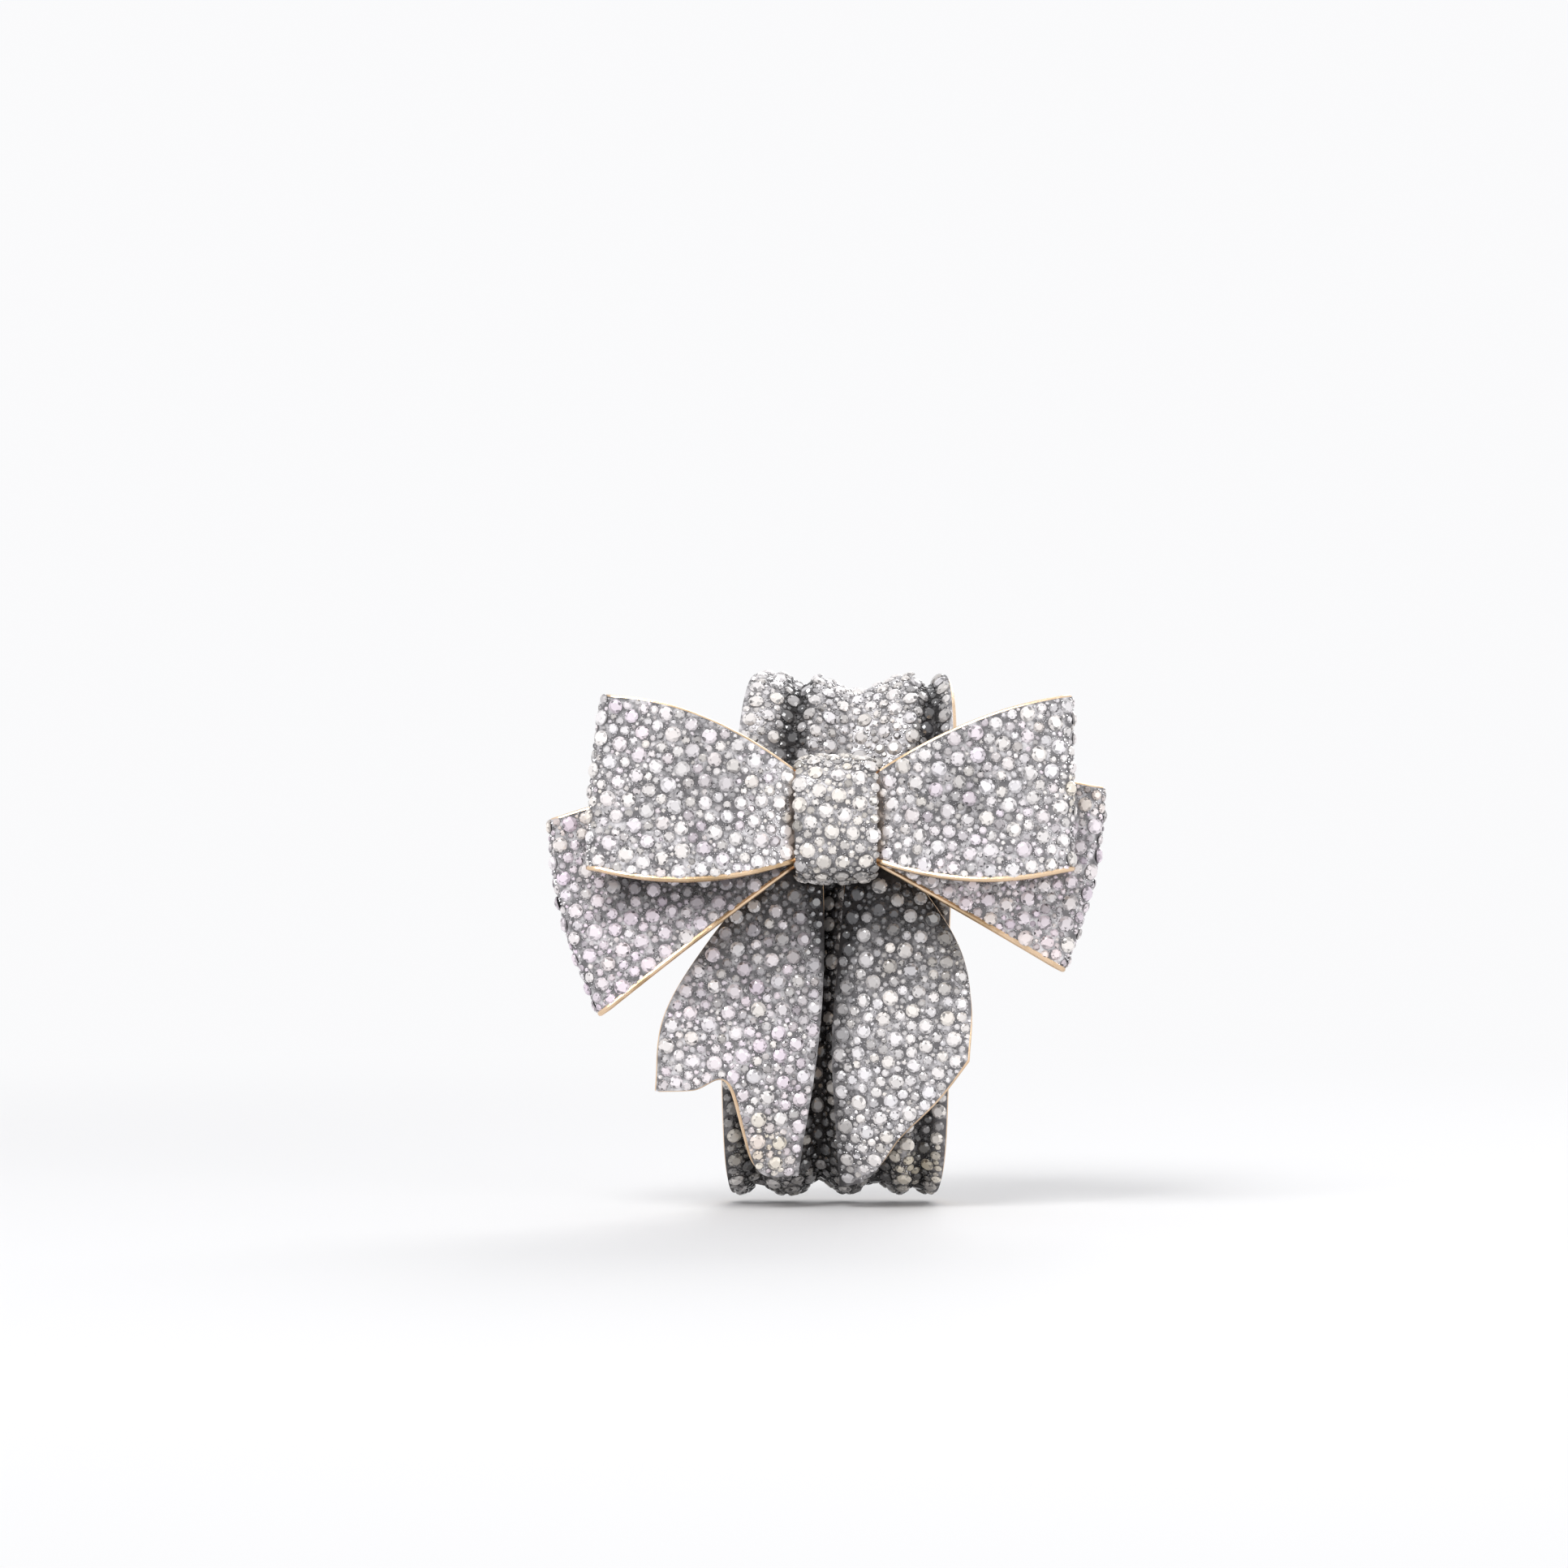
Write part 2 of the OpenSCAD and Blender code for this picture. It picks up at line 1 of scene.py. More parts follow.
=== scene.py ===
import bmesh
import bpy
import numpy as np
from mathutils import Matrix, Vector


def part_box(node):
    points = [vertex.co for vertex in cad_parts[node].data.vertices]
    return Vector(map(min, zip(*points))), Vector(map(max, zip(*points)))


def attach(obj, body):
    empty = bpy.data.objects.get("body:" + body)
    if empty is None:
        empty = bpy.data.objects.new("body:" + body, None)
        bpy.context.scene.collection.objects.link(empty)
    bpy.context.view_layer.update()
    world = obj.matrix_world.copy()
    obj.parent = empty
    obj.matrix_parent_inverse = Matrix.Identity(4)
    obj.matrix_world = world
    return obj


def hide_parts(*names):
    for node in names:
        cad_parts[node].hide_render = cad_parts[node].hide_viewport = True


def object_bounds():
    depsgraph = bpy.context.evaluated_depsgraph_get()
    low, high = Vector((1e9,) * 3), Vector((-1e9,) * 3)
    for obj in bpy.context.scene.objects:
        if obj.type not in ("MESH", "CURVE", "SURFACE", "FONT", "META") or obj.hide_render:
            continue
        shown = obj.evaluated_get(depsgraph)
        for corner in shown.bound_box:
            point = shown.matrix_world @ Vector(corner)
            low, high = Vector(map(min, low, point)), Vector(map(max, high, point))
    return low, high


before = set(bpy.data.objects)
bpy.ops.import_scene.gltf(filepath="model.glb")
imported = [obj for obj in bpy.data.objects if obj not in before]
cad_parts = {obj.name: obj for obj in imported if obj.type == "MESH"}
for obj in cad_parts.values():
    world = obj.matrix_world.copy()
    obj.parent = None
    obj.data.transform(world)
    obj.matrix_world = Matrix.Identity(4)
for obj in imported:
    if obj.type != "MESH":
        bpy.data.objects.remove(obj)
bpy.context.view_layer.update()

# ---- The saddle band -----------------------------------------------------------------------
# A strip of cast alloy, pleated like gathered ribbon, which lies over a narrow waist of cloth
# and rolls back at its top and bottom. Its front is drilled all over for stones, and its edges
# are finished with a plain gold-coloured wire. Lengths in this script are in millimetres.

MM = 0.001
band_low, band_high = (np.array(corner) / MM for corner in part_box("saddle_band"))
BAND_T = 1.0                              # thickness
BAND_FRONT = band_low[1]                  # depth of its front crest
BAND_HALF_H = (band_high[2] - band_low[2]) / 2
KNOT_UP = BAND_HALF_H - band_high[2]      # its middle lies this far below the pin's axis
BAND_HALF_W = 12.0
END_TAPER, TOP_TAPER = 1.6, 0.6           # narrower by this much at both ends, and more at its top
TOP_LEAN = 1.9                            # how far its top leans to the right
FLAT_R, FLAT_A, END_A = 80.0, np.radians(15), np.radians(99)
FLAT_LEN = FLAT_R * FLAT_A
END_R = (BAND_HALF_H - FLAT_R * np.sin(FLAT_A)) / (1 - np.sin(FLAT_A))
BAND_LEN = FLAT_LEN + END_R * (END_A - FLAT_A)
PLEAT_D = 1.5
PLEATS_TOP = [(0.25, 0.9, 0.07), (0.54, 1.25, 0.17), (0.9, 1.0, 0.06)]     # place, depth, width
PLEATS_BOTTOM = [(0.13, 0.8, 0.06), (0.43, 1.1, 0.07), (0.7, 0.9, 0.08), (0.9, 0.5, 0.05)]
PLAIN_LEN, FADE_LEN = 3.2, 5.5            # plain at the knot, and the way to full depth
GATHERED = 0.4                            # the pleats' spread at the knot, of their full spread
EDGE_R = 0.3                              # radius of the edge wire


def off_band(across, along, lift):
    """Point `lift` in front of the band's crest. The side profile is a long arc of radius
    FLAT_R that goes over into an arc of radius END_R at each end, measured along the arcs."""
    side = np.where(along < 0, -1.0, 1.0)
    far = np.abs(along)
    angle = np.where(far < FLAT_LEN, far / FLAT_R, FLAT_A + (far - FLAT_LEN) / END_R)
    flat = np.minimum(angle, FLAT_A)
    back = FLAT_R * (1 - np.cos(flat)) + END_R * (np.cos(flat) - np.cos(angle))
    up = FLAT_R * np.sin(flat) + END_R * (np.sin(angle) - np.sin(flat))
    return np.stack([across + 0 * up, BAND_FRONT + back - lift * np.cos(angle),
                     side * (up + lift * np.sin(angle)) - KNOT_UP], axis=-1)


def from_pleat(u, place, opened):
    """How far u is from a pleat's middle, which moves outwards as the pleats open."""
    return u - 0.5 - (place - 0.5) * (GATHERED + (1 - GATHERED) * opened)


def pleat_depth(u, along):
    """The deepest of several bell-shaped valleys, which run together and fade at the knot."""
    step = np.clip((np.abs(along - KNOT_UP) - PLAIN_LEN) / FADE_LEN, 0, 1)
    fade = step * step * (3 - 2 * step)

    def deepest(pleats):
        return np.max([depth * np.exp(-(from_pleat(u, place, fade) / width) ** 2)
                       for place, depth, width in pleats], axis=0)

    return PLEAT_D * fade * np.where(along > KNOT_UP, deepest(PLEATS_TOP), deepest(PLEATS_BOTTOM))


def band_at(u, v):
    """Across (u) and up (v) the band: a little narrower where it rolls back, leaning at its top."""
    along = BAND_LEN * (2 * v - 1)
    end = along / BAND_LEN
    half = BAND_HALF_W - END_TAPER * end ** 4 - TOP_TAPER * np.maximum(end, 0)
    across = (2 * u - 1) * half + TOP_LEAN * np.maximum(end, 0)
    return off_band(across, along, -pleat_depth(u, along))


NARROW = 0.1                              # a pleat under this width makes a crease


def in_crease(u, v):
    """1 at the bottom of each narrow valley and 0 away from them."""
    along = BAND_LEN * (2 * v - 1)
    step = np.clip((np.abs(along - KNOT_UP) - 1) / FADE_LEN, 0, 1)

    def deepest(pleats):
        return np.max([np.exp(-(from_pleat(u, place, step) / (1.1 * width)) ** 4)
                       for place, _, width in pleats if width < NARROW], axis=0)

    return step * np.where(along > KNOT_UP, deepest(PLEATS_TOP), deepest(PLEATS_BOTTOM))


def normals(surface, facing, u, v, step=0.002):
    """Unit normals of a surface by steps along both of its parameters. A longer step rounds off
    a crease, so that a thick sheet doesn't fold into itself behind it."""
    u0, u1 = np.clip(u - step, 0, 1), np.clip(u + step, 0, 1)
    v0, v1 = np.clip(v - step, 0, 1), np.clip(v + step, 0, 1)
    n = facing * np.cross(surface(u1, v) - surface(u0, v), surface(u, v1) - surface(u, v0))
    return n / np.linalg.norm(n, axis=-1, keepdims=True)


class Wire:
    """One output of a shader node, on which Python's + and * add Math nodes."""

    def __init__(self, finish, socket):
        self.finish, self.socket = finish, socket

    def math(self, operation, *values):
        return self.finish.node("ShaderNodeMath", {"operation": operation}, dict(enumerate(values)))

    def __add__(self, other):
        return self.math("ADD", self, other)

    def __mul__(self, other):
        return self.math("MULTIPLY", self, other)

    __radd__ = __add__
    __rmul__ = __mul__

    def ease(self, low, high):
        """0 below low, 1 above high and a smooth step between."""
        return self.finish.node("ShaderNodeMapRange", {"interpolation_type": "SMOOTHSTEP"},
                                {"Value": self, "From Min": low, "From Max": high})


class Finish:
    """A material, or a world where one is given, built from nodes that `node` makes."""

    def __init__(self, name, world=None):
        self.owner = world or bpy.data.materials.new(name)
        self.owner.use_nodes = True
        self.tree = self.owner.node_tree
        self.tree.nodes.clear()

    def node(self, kind, settings=None, sockets=None, out=0):
        """Any node: its settings are set first, then each socket gets its value or its link."""
        made = self.tree.nodes.new(kind)
        for key, value in (settings or {}).items():
            setattr(made, key, value)
        for key, value in (sockets or {}).items():
            if isinstance(value, Wire):
                self.tree.links.new(value.socket, made.inputs[key])
            else:
                made.inputs[key].default_value = value
        return Wire(self, made.outputs[out])

    def place(self):
        """Object coordinates, which are the frame's own, in metres."""
        return self.node("ShaderNodeTexCoord", out=3)

    def noise(self, scale, detail=3.0, rough=0.55, where=None):
        sockets = {"Vector": where or self.place(), "Scale": scale, "Detail": detail, "Roughness": rough}
        return self.node("ShaderNodeTexNoise", None, sockets)

    def attribute(self, name):
        """A value that the mesh holds for each of its faces."""
        return self.node("ShaderNodeAttribute", {"attribute_name": name}, out=2)

    def mix(self, factor, a, b):
        """Colour a where the factor is 0 and b where it is 1."""
        return self.node("ShaderNodeMix", {"data_type": "RGBA"}, {0: factor, 6: a, 7: b}, out=2)

    def bump(self, height, strength, distance):
        sockets = {"Height": height, "Strength": strength, "Distance": distance}
        return self.node("ShaderNodeBump", None, sockets)

    def close(self, **sockets):
        """Ends the tree in a Principled shader; Base_Color stands for its socket Base Color."""
        named = {key.replace("_", " "): value for key, value in sockets.items()}
        return self.end(self.node("ShaderNodeBsdfPrincipled", None, named))

    def end(self, shader):
        """Links the last shader to the output, and gives back the material or world."""
        kind = "World" if isinstance(self.owner, bpy.types.World) else "Material"
        output = self.tree.nodes.new("ShaderNodeOutput" + kind)
        self.tree.links.new(shader.socket, output.inputs["Surface"])
        return self.owner


def pave_bed():
    """Drilled silver-coloured metal between the stones, darker in random patches, and painted
    near black as shade where the `shadow` attribute says little light reaches.
    """
    f = Finish("pave_bed")
    grime = f.noise(900, 4)
    pits = f.node("ShaderNodeTexVoronoi", None, {"Vector": f.place(), "Scale": 1500})
    colour = f.mix(grime.ease(0.42, 0.68), (0.19, 0.184, 0.19, 1), (0.66, 0.64, 0.655, 1))
    # Painted shade: the `shadow` attribute darkens the bed towards near black.
    colour = f.mix(f.attribute("shadow"), colour, (0.022, 0.02, 0.02, 1))
    return f.close(Base_Color=colour, Metallic=0.85, Roughness=0.32 + 0.3 * grime,
                   Normal=f.bump(pits + grime, 0.5, 0.00012))


def gold_wire():
    """Pale, slightly pink gold-coloured plate, darker in small tarnished patches."""
    f = Finish("gold_wire")
    cloud = f.noise(260, 3)
    fine = f.noise(2600, 2)
    colour = f.mix(cloud.ease(0.45, 0.72), (0.84, 0.62, 0.42, 1), (0.5, 0.35, 0.2, 1))
    return f.close(Base_Color=colour, Metallic=1.0, Roughness=0.2 + 0.2 * fine,
                   Normal=f.bump(fine + cloud, 0.35, 0.00008))


def plate_back():
    """Silver-coloured plate over a casting: faint ripples, fine polishing lines and dull spots."""
    f = Finish("plate_back")
    stretched = f.node("ShaderNodeMapping", None, {"Vector": f.place(), "Scale": (0.2, 1.0, 1.0)})
    lines = f.noise(4200, 2, 0.7, stretched)
    ripple = f.noise(190, 2)
    dull = f.noise(70, 4).ease(0.52, 0.74)
    colour = f.mix(dull, (0.66, 0.655, 0.67, 1), (0.5, 0.485, 0.47, 1))
    return f.close(Base_Color=colour, Metallic=0.92, Roughness=0.34 + 0.12 * lines + 0.14 * dull,
                   Normal=f.bump(ripple * 2.0 + lines * 0.3, 0.35, 0.00012))


PAVE_BED, GOLD_WIRE, PLATE_BACK = pave_bed(), gold_wire(), plate_back()


def quads(corner_a, corner_b, corner_c, corner_d):
    """Four-sided faces from four arrays of corner numbers."""
    return np.stack([corner_a, corner_b, corner_c, corner_d], axis=-1).reshape(-1, 4)


NO_POINTS, NO_FACES = np.empty((0, 3)), np.empty((0, 3), int)


def build(name, parts, finishes, smooth=True, facets=None):
    """One mesh object, in metres, from (points in mm, faces, finish number) parts. The faces of a
    part are an array of corner numbers, and its finish number may be one for each face. `facets`
    gives named values for each face of the object, in order."""
    points = np.concatenate([part[0] for part in parts]) * MM
    start = np.cumsum([0] + [len(part[0]) for part in parts])
    faces = [face for first, part in zip(start, parts) for face in (part[1] + first).tolist()]
    mesh = bpy.data.meshes.new(name)
    mesh.from_pydata(points.tolist(), [], faces)
    for finish in finishes:
        mesh.materials.append(finish)
    numbers = [np.full(len(part[1]), part[2]) for part in parts]
    mesh.polygons.foreach_set("material_index", np.concatenate(numbers))
    mesh.polygons.foreach_set("use_smooth", np.full(len(faces), smooth))
    for key, values in (facets or {}).items():
        mesh.attributes.new(key, "FLOAT", "FACE").data.foreach_set("value", values.astype(np.float32))
    mesh.update()
    piece = bpy.data.objects.new(name, mesh)
    bpy.context.scene.collection.objects.link(piece)
    return piece


def sheet_parts(surface, facing, us, vs, front, back, step):
    """A closed sheet about a surface: the front skin, the back skin and the strip round its edge."""
    u, v = np.meshgrid(us, vs, indexing="ij")
    middle, out = surface(u, v), normals(surface, facing, u, v, step)
    points = np.concatenate([(middle + out * front).reshape(-1, 3), (middle - out * back).reshape(-1, 3)])
    number = np.arange(u.size).reshape(u.shape)
    far = number + u.size
    skin = quads(number[:-1, :-1], number[1:, :-1], number[1:, 1:], number[:-1, 1:])
    under = quads(far[:-1, :-1], far[:-1, 1:], far[1:, 1:], far[1:, :-1])
    ring = np.concatenate([number[:, 0], number[-1, 1:], number[-2::-1, -1], number[0, -2:0:-1]])
    after = np.roll(ring, -1)
    strip = quads(ring, ring + u.size, after + u.size, after)
    if facing < 0:
        skin, under, strip = skin[:, ::-1], under[:, ::-1], strip[:, ::-1]
    return points, skin, under, strip


WIRE_SIDES = 8


def edge_wire(surface, facing, u, v, closed, lift, step):
    """A round wire of radius EDGE_R along the line (u, v), lifted off a surface: rings of points
    spanned by the surface's normal and the direction across the line."""
    out = normals(surface, facing, u, v, step)
    path = surface(u, v) + lift * out
    if closed:
        along = np.roll(path, -1, axis=0) - np.roll(path, 1, axis=0)
    else:
        along = np.gradient(path, axis=0)
    across = np.cross(along, out)
    across /= np.linalg.norm(across, axis=1, keepdims=True)
    turn = np.arange(WIRE_SIDES) * np.pi / (WIRE_SIDES / 2)
    ring = np.cos(turn)[:, None] * out[:, None, :] + np.sin(turn)[:, None] * across[:, None, :]
    points = (path[:, None, :] + EDGE_R * ring).reshape(-1, 3)
    number = np.arange(len(path) * WIRE_SIDES).reshape(-1, WIRE_SIDES)
    after = np.roll(number, -1, axis=0) if closed else number[1:]
    first = number if closed else number[:-1]
    walls = quads(first, after, np.roll(after, -1, axis=1), np.roll(first, -1, axis=1))
    caps = np.array([number[0], number[-1][::-1]])
    return points, walls, (None if closed else caps)


WELD, CREASE = 1e-7, np.radians(40)       # how near corners are joined, and which edges stay sharp


def ribbon(name, surface, facing, us, vs, front, back, wires, shade, stones_to=1.0, step=0.002):
    """A ribbon piece: its sheet, with pave on the front, plate behind and gold at its cut edge,
    and a gold wire along each of the lines in `wires`, as (u, v, closed, lift). `shade` says how
    much light reaches a place on the front, which is painted into the pave bed's colour as
    shade; the pave ends at u = `stones_to`."""
    points, skin, under, strip = sheet_parts(surface, facing, us, vs, front, back, step)
    mid_u, mid_v = np.meshgrid((us[1:] + us[:-1]) / 2, (vs[1:] + vs[:-1]) / 2, indexing="ij")
    lit = shade(mid_u.ravel(), mid_v.ravel(), surface(mid_u, mid_v).reshape(-1, 3))
    parts = [(points, skin, np.where(mid_u.ravel() < stones_to, 0, 1)),
             (NO_POINTS, under - len(points), 1), (NO_POINTS, strip - len(points), 2)]
    for u, v, closed, lift in wires:
        tube, walls, caps = edge_wire(surface, facing, u, v, closed, lift, step)
        parts.append((tube, walls, 2))
        if caps is not None:
            parts.append((NO_POINTS, caps - len(tube), 2))
    # Painted shade: the skin faces carry 1 - lit as `shadow`, which darkens the pave bed.
    plain = np.zeros(sum(len(part[1]) for part in parts) - len(lit))
    facets = {"shadow": np.concatenate([1 - lit, plain])}
    piece = build(name, parts, [PAVE_BED, PLATE_BACK, GOLD_WIRE], facets=facets)
    bm = bmesh.new()
    bm.from_mesh(piece.data)
    bmesh.ops.remove_doubles(bm, verts=bm.verts, dist=WELD)
    bmesh.ops.recalc_face_normals(bm, faces=bm.faces)
    bm.to_mesh(piece.data)
    bm.free()
    piece.data.set_sharp_from_angle(angle=CREASE)
    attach(piece, "bow")
    return piece


def border(inset_u, inset_v, count, lift=0.0):
    """Parameters of a closed line round a surface, `inset` from its edges and cut at its corners."""
    t = np.linspace(0, 1, count, endpoint=False)
    one, zero = np.ones(count), np.zeros(count)
    u = np.concatenate([t, one, 1 - t, zero])
    v = np.concatenate([zero, t, one, 1 - t])
    return inset_u + (1 - 2 * inset_u) * u, inset_v + (1 - 2 * inset_v) * v, True, lift


# Painted shade on the band's stones, beads and bed: how dark each part is painted.
BOW_REACH = 5.0                           # painted shade: above and below, the bow darkens the band's colour this far
BESIDE_BOW = 0.62                         # shares of the light: beside the bow,
LOW_LEFT, LOW_RIGHT = 0.42, 0.8           # below it on either side,
BETWEEN_TAILS, TAIL_GAP = 0.4, 3.5        # and between the tails, this far from the middle


def band_shade(u, v, points):
    """Painted shade: stones and bed deep in a narrow fold, low down, between the tails or near the
    bow are painted darker, where they throw back less light.
    """
    x, z = points[:, 0], points[:, 2]
    clear = np.clip((np.abs(z) - BOW_REACH) / BOW_REACH, 0, 1)
    low = np.where(z < 0, np.where(x < 0, LOW_LEFT, LOW_RIGHT), 1.0)
    hollow = np.where((z < 0) & (np.abs(x) < TAIL_GAP), BETWEEN_TAILS, 1.0)
    return (1 - 0.92 * in_crease(u, v)) * (BESIDE_BOW + (1 - BESIDE_BOW) * clear) * low * hollow


band = ribbon("saddle_band_sheet", band_at, 1, np.linspace(0, 1, 120), np.linspace(0, 1, 200),
              0, BAND_T, [border(0.012, 0.004, 90, -0.6 * BAND_T)], band_shade, step=0.03)
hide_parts("saddle_band")

# ---- Stones --------------------------------------------------------------------------------
# Round foil-backed crystal stones in mixed sizes, set so close that they cover the metal: the
# large ones first, in rows along the edges, then smaller ones between them, each held by tiny
# silver-coloured beads raised from the sheet.

# Radius of each size, and the least and the widest gap beside it
STONE_SIZES = [(0.82, 0.42, 0.75), (0.58, 0.1, 0.25), (0.44, 0.04, 0.1), (0.32, 0.02, 0.06),
               (0.23, 0.02, 0.04)]
BEAD_R = 0.12
BEADS_PER_STONE = 1.5
RIM_OVERHANG = 0.04                       # how far a stone may reach past the sheet's rim
FAR = 3.0                                 # a distance at which nothing is in a stone's way
LARGEST, LARGE = 0.69, 0.5                # radii above which a stone is of the first size, or cut in full
# Painted light on each kind of facet, how bright it is painted and how much it varies: table,
# stars, kites, halves, girdle and back of a large stone, and table, slopes, girdle and back of a small one
FACETS_LARGE = [(0.95, 0.1), (1.0, 0.8), (1.0, 0.9), (0.9, 0.85), (0.45, 0.3), (0, 0)]
FACETS_SMALL = [(1.0, 0.3), (1.0, 0.95), (0.45, 0.3), (0, 0)]


def crystal():
    """Cut crystal over foil. Each facet's colour is painted brighter or darker for the light it would
    throw back, and darker still where painted shade lies; stones near the listed places get a painted
    gold reflection, and a few are warmer, cooler or lilac by chance. The facets' own mirror shine lies over
    it."""
    f = Finish("crystal")
    # The `warm` attribute holds each stone's own warmth plus its painted gold reflection.
    tint = f.mix(f.attribute("warm"), (0.95, 0.92, 0.945, 1), (1.0, 0.88, 0.64, 1))
    tint = f.mix(f.attribute("lilac"), tint, (0.94, 0.8, 0.92, 1))
    # Painted light and shade: the `light` attribute sets how bright each facet is painted.
    colour = f.mix(f.attribute("light"), (0.02, 0.02, 0.024, 1), tint)
    return f.close(Base_Color=colour, Metallic=0.1, Roughness=0.1, IOR=1.7, Coat_Weight=0.4,
                   Coat_Roughness=0.03)


def bead_silver():
    """Bright silver-coloured beads, dulled in patches, and painted dark as shade where little light reaches
    them.
    """
    f = Finish("bead_silver")
    silver = f.mix(f.noise(1500), (0.9, 0.89, 0.9, 1), (0.45, 0.44, 0.45, 1))
    # Painted shade: the `light` attribute darkens the beads.
    colour = f.mix(f.attribute("light"), (0.03, 0.03, 0.03, 1), silver)
    return f.close(Base_Color=colour, Metallic=1.0, Roughness=0.25)


CRYSTAL, BEAD_SILVER = crystal(), bead_silver()


# Places (x, z) where a painted gold reflection warms the stones' colour, and how far and how strongly:
# the rear loops' outer corners, the right tail's outer edge, the band's lower right and the left tail's point
GOLD_GLINT_AT = [(-28.3, 0.3), (26.8, 3.4), (21.5, -14.5), (13.8, -11.5), (9.0, -36.5), (-8.0, -35.0)]
GOLD_GLINT_REACH, GOLD_GLINT_MOST = 2.4, 0.85


def painted_gold_glint(points):
    """How much painted gold reflection a stone's colour gets: a bell round each of the listed places."""
    away = np.linalg.norm(points[:, None, [0, 2]] - np.array(GOLD_GLINT_AT)[None], axis=2)
    return GOLD_GLINT_MOST * np.exp(-(away / GOLD_GLINT_REACH) ** 2).max(axis=1)


def brilliant():
    """A round cut: an eight-sided table, eight star facets, eight kites and sixteen girdle
    facets over a short girdle, of radius 1. Each entry is one kind of face."""
    k = np.arange(8)
    a, b, c = k * np.pi / 4, (k + 0.5) * np.pi / 4, np.arange(16) * np.pi / 8

    def ring(angle, radius, height):
        return np.stack([radius * np.cos(angle), radius * np.sin(angle), np.full(len(angle), height)], axis=1)

    points = np.concatenate([ring(a, 0.56, 0.47), ring(b, 0.78, 0.34),
                             ring(c, 1.0, 0.1), ring(c, 1.0, -0.12)])
    j, after = np.arange(16), np.roll(np.arange(16), -1)
    table = k[None, :]
    stars = np.stack([k, 8 + k, np.roll(k, -1)], axis=1)
    kites = np.stack([k, 8 + np.roll(k, 1), 16 + 2 * k, 8 + k], axis=1)
    halves = np.stack([8 + j // 2, 16 + j, 16 + after], axis=1)
    wall = np.stack([16 + j, 32 + j, 32 + after, 16 + after], axis=1)
    return points, [table, stars, kites, halves, wall, 32 + np.arange(16)[None, ::-1]]


def single_cut():
    """A small stone: an eight-sided table and eight sloping facets over a short girdle."""
    k = np.arange(8)
    a, after = k * np.pi / 4, np.roll(k, -1)
    points = np.concatenate([np.stack([r * np.cos(a), r * np.sin(a), np.full(8, h)], axis=1)
                             for r, h in ((0.58, 0.46), (1.0, 0.1), (1.0, -0.2))])
    slopes = np.stack([k, 8 + k, 8 + after, after], axis=1)
    wall = np.stack([8 + k, 16 + k, 16 + after, 8 + after], axis=1)
    return points, [k[None, :], slopes, wall, 16 + k[None, ::-1]]


def bead():
    """A raised bead: a six-sided dome of two rings and a top."""
    a, k = np.arange(6) * np.pi / 3, np.arange(6)
    points = np.concatenate([np.stack([r * np.cos(a), r * np.sin(a), np.full(6, h)], axis=1)
                             for r, h in ((1.0, -0.5), (0.9, 0.55), (0.45, 1.1))])
    after = np.roll(k, -1)
    lower = np.stack([k, after, 6 + after, 6 + k], axis=1)
    upper = np.stack([6 + k, 6 + after, 12 + after, 12 + k], axis=1)
    return points, [lower, upper, 12 + k[None, :], k[None, ::-1]]


def copies(template, centres, out, radii, spin, rng, tilt):
    """The template's points and faces at each centre, turned so that its axis lies along `out`,
    leaned a little at random, and scaled by the radius."""
    points, kinds = template
    out = out + tilt * rng.normal(size=out.shape)
    out /= np.linalg.norm(out, axis=1, keepdims=True)
    helper = np.where(np.abs(out[:, 2:3]) < 0.9, [[0, 0, 1.0]], [[1.0, 0, 0]])
    side = np.cross(helper, out)
    side /= np.linalg.norm(side, axis=1, keepdims=True)
    other = np.cross(out, side)
    x = np.cos(spin)[:, None] * side + np.sin(spin)[:, None] * other
    y = -np.sin(spin)[:, None] * side + np.cos(spin)[:, None] * other
    frames = np.stack([x, y, out], axis=1) * radii[:, None, None]
    placed = (points @ frames + centres[:, None, :]).reshape(-1, 3)
    first = np.arange(len(centres))[:, None, None] * len(points)
    return placed, [(kind[None] + first).reshape(-1, kind.shape[1]) for kind in kinds]


def fill(points, rim, rng, looseness):
    """Greedy setting: for each size in turn, stones go where they fit most snugly beside what is
    there already, with a random gap, and right up to the rim, which lies `rim` away. A higher
    looseness spaces the largest wider. Returns the places, their radii and the room left."""
    taken, radii = [], []
    room = np.full(len(points), FAR)
    for radius, least, most in STONE_SIZES:
        if radius > LARGEST:
            least, most = least * looseness, most * looseness
        while True:
            gap = rng.uniform(least, most)
            free = np.minimum(room, rim + least)
            fits = np.flatnonzero(free >= radius + least)
            if not len(fits):
                break
            choice = fits[np.argmin(np.abs(free[fits] - radius - gap))]
            size = radius * rng.uniform(0.86, 1.04)
            taken.append(choice)
            radii.append(size)
            room = np.minimum(room, np.linalg.norm(points - points[choice], axis=1) - size)
    return np.array(taken), np.array(radii), np.minimum(room, rim)


PER_MM2 = 22                              # places tried on each square millimetre
SCATTER = 60                              # lines of the grid that they are drawn from
CHUNK = 2000                              # points whose distances are worked out at a time


def nearest(points, others):
    """Distance from each point to the nearest of the others."""
    chunks = np.array_split(np.arange(len(points)), max(1, len(points) // CHUNK))
    return np.concatenate([np.linalg.norm(points[chunk, None] - others[None], axis=2).min(axis=1)
                           for chunk in chunks])


